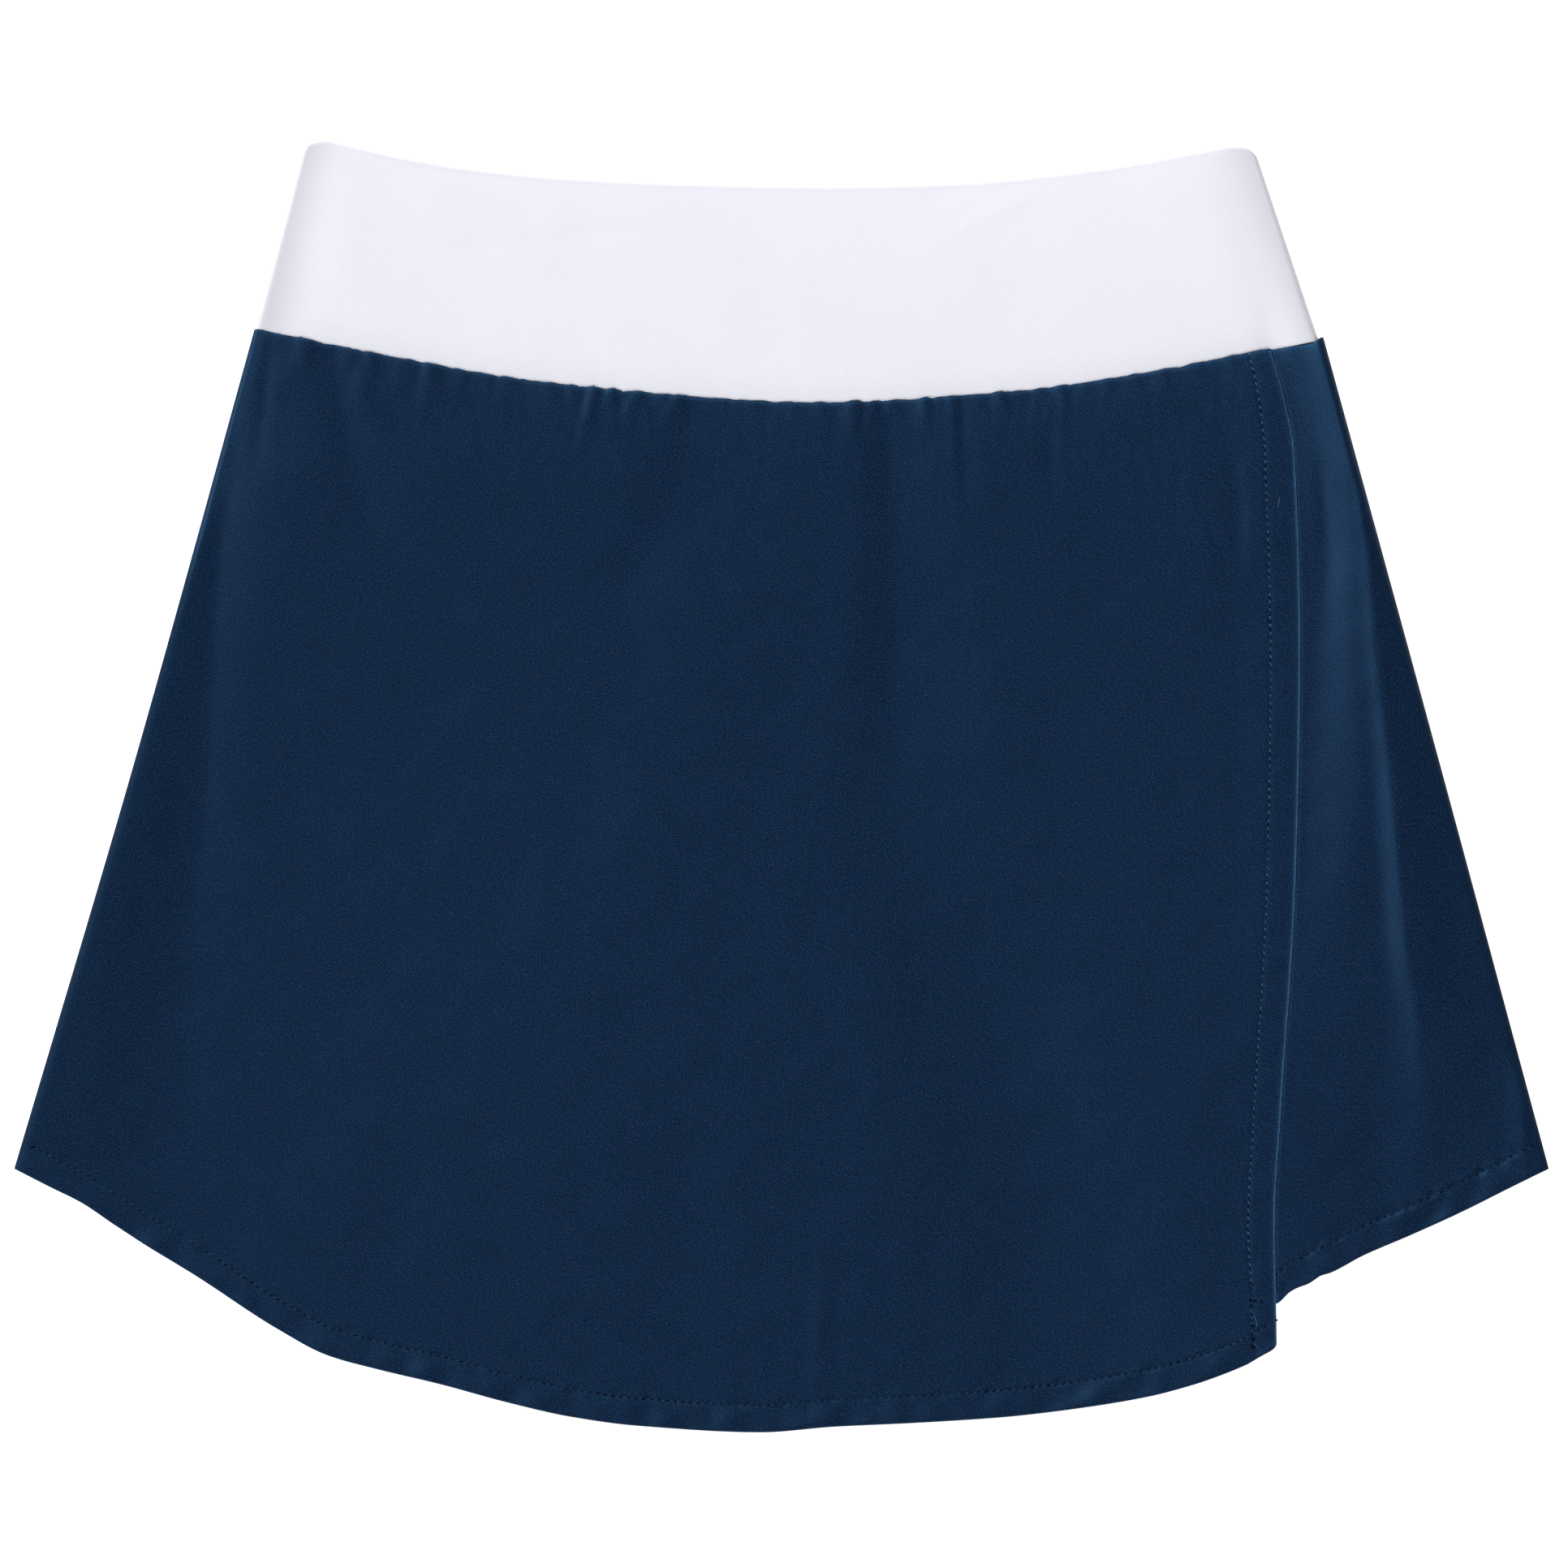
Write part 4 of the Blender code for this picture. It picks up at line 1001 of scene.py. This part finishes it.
def white_knit(colours):
    """White rib knit: fine wales along the waistband's depth, finer courses across them, soft unevenness."""
    name = "white_rib_knit"
    if name in bpy.data.materials:
        return bpy.data.materials[name]
    material, tree, shader = tree_of(name, 0.85, 0.2, sheen=0.15)
    wale = bands(tree, along_cloth(tree), "X", 0.42, 0.6, 1.0, 1.5)
    course = bands(tree, along_cloth(tree), "Y", 0.55, 1.0, 1.0, 2.0)
    loops = maths(tree, "ADD", maths(tree, "MULTIPLY", course, 0.35), wale)
    fuzz = cloth_noise(tree, (1.7, 1.7), 2.0, 0.7)
    drift = cloth_noise(tree, (0.05, 0.03))
    shade = ranged(tree, loops, 0.0, 1.35, 0.990, 1.0)
    shade = maths(tree, "MULTIPLY", shade, ranged(tree, drift, 0.3, 0.7, 0.99, 1.01))
    shade = maths(tree, "MULTIPLY", shade, ranged(tree, fuzz, 0.3, 0.7, 0.965, 1.025))
    base = mixed(tree, 1.0, colours.white, grey(tree, shade), "MULTIPLY")
    # Painted shade: towards the sides, the top edge and the seam the white is mixed towards a darker white.
    base = mixed(tree, painted(tree, "side"), base, times(colours.white, 0.78))
    tree.links.new(base, shader.inputs["Base Color"])
    tree.links.new(ranged(tree, loops, 0.0, 1.35, 0.92, 0.80), shader.inputs["Roughness"])
    bumped(tree, shader, maths(tree, "ADD", fuzz, maths(tree, "MULTIPLY", loops, 0.4)), 0.10, 0.4)
    return material


def navy_knit(colours):
    """Navy jersey: fine wales, close courses and a matt surface."""
    name = "navy_jersey"
    if name in bpy.data.materials:
        return bpy.data.materials[name]
    material, tree, shader = tree_of(name, 0.8, 0.3, (0.4, 0.6, 1.0), 0.1)
    wale = bands(tree, along_cloth(tree), "X", 0.5, 1.2, 2.0, 1.5)
    loops = maths(tree, "MULTIPLY", wale, cloth_noise(tree, (2.0, 2.4), 2.0, 0.6))
    base = mixed(tree, ranged(tree, loops, 0.0, 0.7), colours.jersey, times(colours.jersey, 1.9))
    tree.links.new(base, shader.inputs["Base Color"])
    bumped(tree, shader, loops, 0.12, 0.5)
    return material


def sewing_thread(name, colour, gloss):
    """Twisted thread: fine slanting bands of a lighter and a darker tone."""
    if name in bpy.data.materials:
        return bpy.data.materials[name]
    material, tree, shader = tree_of(name, 0.6, gloss, (0.3, 0.6, 1.0))
    twist = bands(tree, on_object(tree), "DIAGONAL", 900.0, 1.5)
    base = mixed(tree, ranged(tree, twist, 0.2, 0.7), times(colour, 0.55), colour)
    tree.links.new(base, shader.inputs["Base Color"])
    tree.links.new(ranged(tree, twist, 0.0, 1.0, 0.7, 0.6), shader.inputs["Roughness"])
    bumped(tree, shader, twist, 0.05, 0.4)
    return material


def painted_shade_thread(colours):
    """The thread in the dents and the knots, painted near-black as shade, since hardly any light reaches
    them.
    """
    return sewing_thread("thread_dark", times(colours.thread, 0.02), 0.1)


def light_thread(colours):
    """The thread that shows along the wrap's edge."""
    return sewing_thread("thread_light", colours.thread, 0.3)


def floor_paper():
    """A plain matt white surface with the faintest grain, lit a little itself so that it shows no shadows."""
    material, tree, shader = tree_of("pale_floor", 0.9, 0.0)
    grain = noise(tree, on_object(tree), 300.0)
    tree.links.new(grey(tree, ranged(tree, grain, 0.3, 0.7, 0.965, 0.985)), shader.inputs["Base Color"])
    shader.inputs["Emission Color"].default_value = (1.0, 1.0, 1.0, 1.0)
    shader.inputs["Emission Strength"].default_value = 1.0
    return material


# --- Surfaces -------------------------------------------------------------------------------------
def front_surface(cloths, stitching):
    """Grid and outer points of the front panel.

    Height = as it lies + folds + gathers + the roll beside the seam + slight waves + the hem + the wrap
    edge's turned band: a low swell, a groove on its stitches, its lift and ripples.
    """
    cut = Cut(WAIST_SEAM, FRONT_HEM, SIDE_LEFT, WRAP_EDGE, True, False)
    crests = [g.x for g in FRONT_GATHERS]
    inner = stations(FRONT_COUNTS.columns, SIDE_LEFT[0].x, FRONT_INNER_END, crests, 1.0, 4.0)
    grid = skirt_grid(cut, inner, FRONT_COUNTS.rows, stitching, WRAP_STITCH)
    under = grid.from_top - SEAM_MEET
    height = front_lie(grid.x, grid.y) + fold_height(FRONT_FOLDS, grid.x, grid.y)
    height += gather_height(FRONT_GATHERS, grid.seam_x, under) + seam_roll(cloths.roll, under)
    height += cloths.uneven * waves(grid.x, grid.y, FRONT_WAVES)
    height += 0.5 * cloths.uneven * waves(2.2 * grid.x, grid.y, GATHER_WAVES) * ease(1 - under / 60.0)
    height += turned_hem(grid, stitching.hem_inset, cloths.pucker, FRONT_HEM_SEED)
    band = down(WRAP_STITCH, grid.y)
    edge = np.maximum(grid.from_edge, 0.0)
    height += 0.05 * bump(edge - 0.6 * band, 0.6 * band) - 0.10 * bump(edge - band, 0.8)
    height += WRAP_LIFT * ease(1 - (edge - band) / 12.0) * lift_share(grid.y)
    height += 0.2 * cloths.pucker * waves(0.4 * grid.x, grid.y, WRAP_WAVES) * bump(edge - 0.5 * band, band)
    return grid, rounded_up(grid, height)


def underlap_surface(cloths, stitching):
    """Grid and outer points of the underlap.

    Height = as it lies + a rise past the wrap edge, most near the waist + the lift that the wrap edge has
    + a step up just short of it + folds, which are the front's where it is hidden + the roll beside the seam
    + gathers and slight waves in sight + the hem.
    """
    cut = Cut(WAIST_SEAM, UNDERLAP_HEM, UNDERLAP_EDGE, SIDE_RIGHT, False, True)
    hidden = np.linspace(0.0, UNDERLAP_HIDDEN, UNDERLAP_HIDDEN_COLUMNS, endpoint=False)
    shown = np.linspace(UNDERLAP_HIDDEN, 1.0, UNDERLAP_COUNTS.columns, endpoint=False)
    grid = skirt_grid(cut, np.concatenate([hidden, shown]), UNDERLAP_COUNTS.rows, stitching)
    under = grid.from_top - SEAM_MEET
    past = grid.x - down(WRAP_EDGE, grid.y)
    in_sight = ease(past / 4.0)
    height = underlap_lie(grid.x, grid.y) + mix(0.05, 0.5, ease((grid.y - 50.0) / 70.0)) * ease(past / 7.0)
    height += 0.2 * ease(1 + past / 12.0) * lift_share(grid.y) + 0.28 * ease(1 + past / 1.5)
    folds = (fold_height(rows, grid.x, grid.y) for rows in (FRONT_FOLDS, UNDERLAP_FOLDS))
    height += mix(*folds, in_sight) + seam_roll(cloths.roll, under)
    rise = gather_height(UNDERLAP_GATHERS, grid.seam_x, under)
    height += in_sight * (rise + cloths.uneven * waves(grid.x, grid.y, UNDERLAP_WAVES))
    pucker = mix(1.0, 1.8, in_sight) * cloths.pucker
    height += turned_hem(grid, stitching.hem_inset, pucker, UNDERLAP_HEM_SEED)
    return grid, rounded_up(grid, height)


def back_surface(stitching):
    """Grid and outer points of the back panel: flat on the surface, with hollows below its gathers."""
    cut = Cut(WAIST_SEAM, BACK_HEM, SIDE_LEFT, SIDE_RIGHT, True, True)
    crests = [g.x for g in BACK_GATHERS]
    inner = stations(BACK_COUNTS.columns, SIDE_LEFT[0].x, SIDE_RIGHT[0].x, crests, 1.2, 5.0)[1:]
    grid = skirt_grid(cut, inner, BACK_COUNTS.rows, stitching)
    lift = gather_height(BACK_GATHERS, grid.seam_x, grid.from_top - SEAM_MEET)
    lift += fold_height(BACK_FOLDS, grid.x, grid.y)
    lift += 0.12 * bump(grid.from_low - stitching.hem_inset, 0.9) + edge_drop(grid.from_low, 0.4)
    return grid, rounded_down(grid, lift)


def band_grid(drop, counts):
    """Grid of half the waistband, with each point's share of its depth and its distance from the nearer side.

    Rows run from the seam up to the waist edge, which lies `drop` lower than the front's.
    """
    edge = tuple(Point(p.x, p.y - drop) for p in WAIST_EDGE)
    left, right = BAND_SIDE_LEFT[::-1], BAND_SIDE_RIGHT[::-1]
    inner = stations(counts.columns, left[0].x, right[0].x, BAND_CORNERS, 2.0, 10.0)[1:]
    above = [d + SEAM_MEET for d in BAND_ROWS]
    grid = lay_out(Cut(edge, WAIST_SEAM, left, right, True, True), inner, BAND_ROWS, above, counts.rows)
    share = np.clip(grid.from_low / (grid.from_low + grid.from_top), 0.0, 1.0)
    return grid, share, np.minimum(grid.x - grid.x[:, :1], grid.x[:, -1:] - grid.x)


def front_band_surface(cloths):
    """Grid and outer points of the waistband's front.

    Height = from the skirt's height at the seam to the height of the stack, easing in from the sides' height,
    + a low arch + soft creases + slight waves, with both edges rounded.
    """
    grid, share, sides = band_grid(0.0, BAND_FRONT_COUNTS)
    seam_height = front_lie(grid.x[0], across(WAIST_SEAM, grid.x[0])) - 1.1 * cloths.roll
    seam_height = seam_height - (LAP + 0.2) * ease((grid.x - 150.0) / 12.0)
    height = mix(SEAM_GAP + 2 * grid.level, mix(seam_height, STACK, ease(share)), ease(sides / 16.0))
    height += cloths.band_puff * np.sin(np.pi * share) ** 0.6 * ease(sides / 22.0)
    height += fold_height(BAND_CREASES, grid.x, grid.y)
    height += 0.6 * cloths.uneven * waves(grid.x, grid.y, BAND_WAVES)
    height -= edge_drop(grid.from_top, 1.1) + 0.35 * edge_drop(grid.from_low, 1.0)
    return grid, rounded_up(grid, height)


def back_band_surface():
    """Grid and outer points of the waistband's back: flat on the surface, but for its rounded edges."""
    grid, share, sides = band_grid(BACK_WAIST_DROP, BAND_BACK_COUNTS)
    lift = 0.25 * (1 - np.sin(np.pi * share) ** 0.5) * ease(sides / 20.0)
    lift += edge_drop(grid.from_top, 0.9) + 0.5 * edge_drop(grid.from_low, 0.9)
    return grid, rounded_down(grid, lift)


def band_wall(grid, wall):
    """Thickness of half the waistband: half as much at the waist edge."""
    return wall * mix(0.5, 1.0, ease(grid.from_top / 2.5))


def band_shade(grid):
    """How much the waistband is shaded, 0 to 1: most at its sides, some at its top and above the seam."""
    edges = np.maximum(0.3 * fade(grid.from_low, 6.0), 0.4 * fade(grid.from_top, 1.5))
    return np.maximum(side_fold(grid, 10.0), edges)


def shorts_surface():
    """Outer points of the right leg: one piece from the front centre, round the side, to the back centre.

    A column's place is its share of the width, or its turn round the fold at the side. The upper layer has
    slight waves and a step at the hem's stitches.
    """
    flat = np.linspace(0.0, 1.0, SHORTS_COUNTS.columns, endpoint=False)
    share = np.concatenate([flat, np.ones(len(SHORTS_TURNS)), flat[::-1]])
    layer = np.concatenate([np.ones(len(flat)), np.sin(SHORTS_TURNS), -np.ones(len(flat))])
    out = np.concatenate([0 * flat, np.cos(SHORTS_TURNS), 0 * flat])

    def column_x(y):
        centre = down(SHORTS_INSEAM, y)
        fold = down(SHORTS_SIDE, y) - SHORTS_RADIUS
        return mix(centre, fold, share) + out * SHORTS_RADIUS

    y_top = np.full(len(share), 135.0)
    y_low = np.full(len(share), -105.0)
    for _ in range(4):
        y_top = across(WAIST_SEAM, column_x(y_top)) - SEAM_GAP / 2
        y_low = across(SHORTS_HEM, column_x(y_low))
    hem = np.array(SHORTS_HEM_ROWS)[:, None] + y_low
    rise = np.linspace(0.0, 1.0, SHORTS_COUNTS.rows)[1:, None]
    y = np.concatenate([hem, mix(hem[-1], y_top, rise)])
    relief = 0.08 * waves(column_x(y), y, SHORTS_WAVES) + 0.15 * ease((14.0 - (y - y_low)) / 1.5)
    z = SHORTS_BASE + SHORTS_RADIUS * (1 + layer) + np.maximum(layer, 0.0) * relief
    return np.stack([column_x(y), y, z], -1)


# --- Add-on ---------------------------------------------------------------------------------------
def settings():
    """The scene's settings of cloth, stitching, colours and stage."""
    return tuple(getattr(bpy.context.scene, name) for name, _ in SETTINGS)


def place(piece, slot, *nodes):
    """Puts a finished piece on the body that it rides on, in place of its CAD nodes."""
    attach(piece, "root")
    if nodes:
        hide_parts(*nodes)
    return piece


def stitch_run(name, path, up, stitching, colours, number, dents, bars, thread):
    """One line of topstitching: the thread that shows, and the dents where it is pressed into the cloth, as
    near-black pieces of painted shade.
    """
    seed = stitching.seed + number
    dents = threads(f"{name}_dents", path, up, painted_shade_thread(colours), stitching.pitch, dents, seed)
    bars = threads(f"{name}_thread", path, up, thread, stitching.pitch, bars, seed)
    return [place(dents, "navy_woven"), place(bars, "navy_woven")]


def hem_stitches(name, outer, columns, stitching, colours, number):
    """A hem's topstitching along these columns of a panel. Its thread is dim beside its dents."""
    row = HEM_SHARES.index(1.0)
    path, up = outer[row, columns], normals_of(outer)[row, columns]
    dim = sewing_thread("thread_dim", times(colours.thread, 0.35), 0.3)
    return stitch_run(name, path, up, stitching, colours, number, HEM_DENTS, HEM_BARS, dim)


def panel_wall(grid, cloths, stitching, turned):
    """Thickness of a skirt panel: `turned` mm more where its hem is turned up."""
    return cloths.skirt_wall + turned * ease((stitching.hem_inset + 2.0 - grid.from_low) / 1.5)


class SKORT_OT_waistband(bpy.types.Operator):
    """Makes the front and the back of the knit waistband."""

    bl_idname = "skort.waistband"
    bl_label = "Waistband"

    def execute(self, context):
        cloths, _, colours, _ = settings()
        white = white_knit(colours)
        grid, outer = front_band_surface(cloths)
        wall = band_wall(grid, cloths.band_wall) * mix(0.7, 1.0, ease(grid.from_low / 1.5))
        front = cloth("waistband_knit_front", outer, wall, white, True, side=band_shade(grid))
        place(front, "white_knit", "waistband_front")
        grid, outer = back_band_surface()
        wall = band_wall(grid, cloths.band_wall)[:, ::-1] - 0.3
        back = cloth("waistband_knit_back", outer, wall, white, True, side=band_shade(grid)[:, ::-1])
        place(back, "white_knit", "waistband_back")
        return {"FINISHED"}


class SKORT_OT_front(bpy.types.Operator):
    """Makes the front panel with its wrap edge, and the stitches of its hem and edge."""

    bl_idname = "skort.front"
    bl_label = "Front panel"

    def execute(self, context):
        cloths, stitching, colours, _ = settings()
        grid, outer = front_surface(cloths, stitching)
        edge = np.maximum(grid.from_edge, 0.0)
        # Painted highlight: a pale line along the wrap's folded edge, for the light that the edge catches,
        # and a fainter band beside it.
        folded = 0.75 * fade(edge, 0.5) + 0.08 * fade(edge, 1.4)
        worn = np.maximum(folded, painted_edge_highlight(grid, stitching.hem_inset))
        wall = panel_wall(grid, cloths, stitching, 0.15) * mix(0.6, 1.0, ease(edge / 2.5))
        # Painted shade: the navy darkens towards its side fold, more so lower down.
        side = mix(0.3, 0.85, ease((110.0 - grid.y) / 60.0)) * side_fold(grid, 2.6) ** 0.7
        panel = cloth("skirt_front_panel", outer, wall, navy_woven(colours), worn=worn, side=side)
        place(panel, "navy_woven", "skirt_front")
        with_pieces = self.stitches(outer, stitching, colours) + self.loose_threads(outer, colours)
        return {"FINISHED"}

    def stitches(self, outer, stitching, colours):
        """The stitches along the hem, and those along the wrap's edge."""
        inside = np.arange(outer.shape[1]) >= len(FOLD_TURNS)
        inside &= outer[HEM_SHARES.index(1.0), :, 0] < HEM_STITCH_END
        hem = hem_stitches("front_hem", outer, inside, stitching, colours, 1)
        column = outer.shape[1] - len(WRAP_SHARES) + WRAP_SHARES.index(1.0)
        above = outer[:, column, 1] > WRAP_STITCH_END
        path, up = outer[above, column], normals_of(outer)[above, column]
        lit, bars = light_thread(colours), Bar(stitching.length, stitching.thread, *WRAP_BARS)
        return hem + stitch_run("wrap_edge", path, up, stitching, colours, 2, WRAP_DENTS, bars, lit)

    def loose_threads(self, outer, colours):
        """The knots, near-black with painted shade, and the light ends where the wrap's stitches stop, and a
        bit of lint.
        """
        pale = sewing_thread("pale_lint", LINT_COLOUR, 0.3)
        made = (
            strands("tack_knots", TACK_KNOTS, outer, painted_shade_thread(colours), 0.8, 0.0),
            strands("tack_ends", TACK_ENDS, outer, light_thread(colours), 0.26, 0.16),
            strands("lint", LINT, outer, pale, 0.16, 0.12),
        )
        return [place(piece, "navy_woven") for piece in made]


class SKORT_OT_underlap(bpy.types.Operator):
    """Makes the panel under the wrap, and the stitches of its hem."""

    bl_idname = "skort.underlap"
    bl_label = "Underlap"

    def execute(self, context):
        cloths, stitching, colours, _ = settings()
        grid, outer = underlap_surface(cloths, stitching)
        # Painted light: a paler strip just beside the wrap's edge, which lifts the shadow that the edge
        # casts.
        painted_light_beside_wrap = 0.2 * fade(grid.x - down(WRAP_EDGE, grid.y), 0.7)
        worn = np.maximum(painted_light_beside_wrap, painted_edge_highlight(grid, stitching.hem_inset))
        wall = panel_wall(grid, cloths, stitching, 0.1)
        # Painted shade: the navy darkens towards the underlap's side fold.
        side = side_fold(grid, 3.0)
        panel = cloth("skirt_underlap_panel", outer, wall, navy_woven(colours), worn=worn, side=side)
        place(panel, "navy_woven", "skirt_underlap")
        inside = slice(None, -len(FOLD_TURNS))
        hem = hem_stitches("underlap_hem", outer, inside, stitching, colours, 3)
        return {"FINISHED"}


class SKORT_OT_back(bpy.types.Operator):
    """Makes the back panel, and the stitches of its hem."""

    bl_idname = "skort.back"
    bl_label = "Back panel"

    def execute(self, context):
        cloths, stitching, colours, _ = settings()
        grid, outer = back_surface(stitching)
        worn = painted_edge_highlight(grid, stitching.hem_inset)[:, ::-1]
        # Painted shade: the navy darkens towards the back panel's side folds.
        side = side_fold(grid, 3.0)[:, ::-1]
        navy = navy_woven(colours)
        panel = cloth("skirt_back_panel", outer, cloths.skirt_wall, navy, worn=worn, side=side)
        place(panel, "navy_woven", "skirt_back")
        inside = slice(len(FOLD_TURNS), -len(FOLD_TURNS))
        hem = hem_stitches("back_hem", outer, inside, stitching, colours, 4)
        return {"FINISHED"}


class SKORT_OT_shorts(bpy.types.Operator):
    """Makes the two legs of the inner shorts."""

    bl_idname = "skort.shorts"
    bl_label = "Inner shorts"

    def execute(self, context):
        cloths, _, colours, _ = settings()
        leg = shorts_surface()
        for name, points in (("right", leg), ("left", leg[:, ::-1] * (-1.0, 1.0, 1.0))):
            piece = cloth(f"shorts_{name}_leg", points, cloths.shorts_wall, navy_knit(colours))
            place(piece, "navy_knit", f"shorts_{name}")
        return {"FINISHED"}


class SKORT_OT_stage(bpy.types.Operator):
    """Makes the floor, the soft lights and the camera."""

    bl_idname = "skort.stage"
    bl_label = "Stage"

    def execute(self, context):
        *_, stage = settings()
        scene = context.scene
        corners = np.array([(-1, -1, 0), (1, -1, 0), (1, 1, 0), (-1, 1, 0)]) * FLOOR_REACH
        floor = new_object("floor", corners - (0.0, 0.0, FLOOR_BELOW), [np.arange(4)[None]], floor_paper())

        world = bpy.data.worlds.new("soft white")
        world.use_nodes = True
        around = world.node_tree.nodes["Background"]
        around.inputs["Color"].default_value = (1.0, 1.0, 1.0, 1.0)
        around.inputs["Strength"].default_value = stage.fill
        scene.world = world
        for row in LAMPS:
            light = bpy.data.lights.new(row.name, "SUN")
            light.energy = getattr(stage, row.strength)
            light.angle = np.radians(row.angle)
            lamp = bpy.data.objects.new(row.name, light)
            lamp.rotation_euler = Vector(row.towards).to_track_quat("Z", "Y").to_euler()
            scene.collection.objects.link(lamp)

        camera = bpy.data.cameras.new("camera")
        camera.lens = stage.lens
        camera.sensor_width = 36.0
        camera.clip_end = 100.0
        away = stage.view_width * stage.lens / camera.sensor_width
        eye = bpy.data.objects.new("camera", camera)
        eye.location = Vector((VIEW_CENTRE.x, VIEW_CENTRE.y, VIEW_LEVEL + away)) * MM
        scene.collection.objects.link(eye)
        scene.camera = eye
        scene.view_settings.view_transform = "Standard"
        scene.view_settings.look = "None"
        return {"FINISHED"}


OPERATORS = (
    SKORT_OT_waistband,
    SKORT_OT_shorts,
    SKORT_OT_back,
    SKORT_OT_underlap,
    SKORT_OT_front,
    SKORT_OT_stage,
)
SETTINGS = (
    ("skort_cloth", SkortCloth),
    ("skort_stitching", SkortStitching),
    ("skort_colours", SkortColours),
    ("skort_stage", SkortStage),
)


class SKORT_PT_panel(bpy.types.Panel):
    """Lists the pieces and their settings."""

    bl_idname = "SKORT_PT_panel"
    bl_label = "Skort"
    bl_space_type = "VIEW_3D"
    bl_region_type = "UI"
    bl_category = "Skort"

    def draw(self, context):
        layout = self.layout
        for operator in OPERATORS:
            layout.operator(operator.bl_idname)
        for name, group in SETTINGS:
            box = layout.box()
            for key in group.__annotations__:
                box.prop(getattr(context.scene, name), key)


def register():
    """Registers the settings, the operators and the panel."""
    for name, group in SETTINGS:
        bpy.utils.register_class(group)
        setattr(bpy.types.Scene, name, PointerProperty(type=group))
    for operator in OPERATORS:
        bpy.utils.register_class(operator)
    bpy.utils.register_class(SKORT_PT_panel)


def unregister():
    """Takes back what register() did, in the opposite order."""
    bpy.utils.unregister_class(SKORT_PT_panel)
    for operator in reversed(OPERATORS):
        bpy.utils.unregister_class(operator)
    for name, group in reversed(SETTINGS):
        delattr(bpy.types.Scene, name)
        bpy.utils.unregister_class(group)


def main():
    """Makes all the pieces and the stage."""
    register()
    bpy.ops.skort.waistband()
    bpy.ops.skort.shorts()
    bpy.ops.skort.back()
    bpy.ops.skort.underlap()
    bpy.ops.skort.front()
    bpy.ops.skort.stage()


if __name__ == "__main__":
    main()
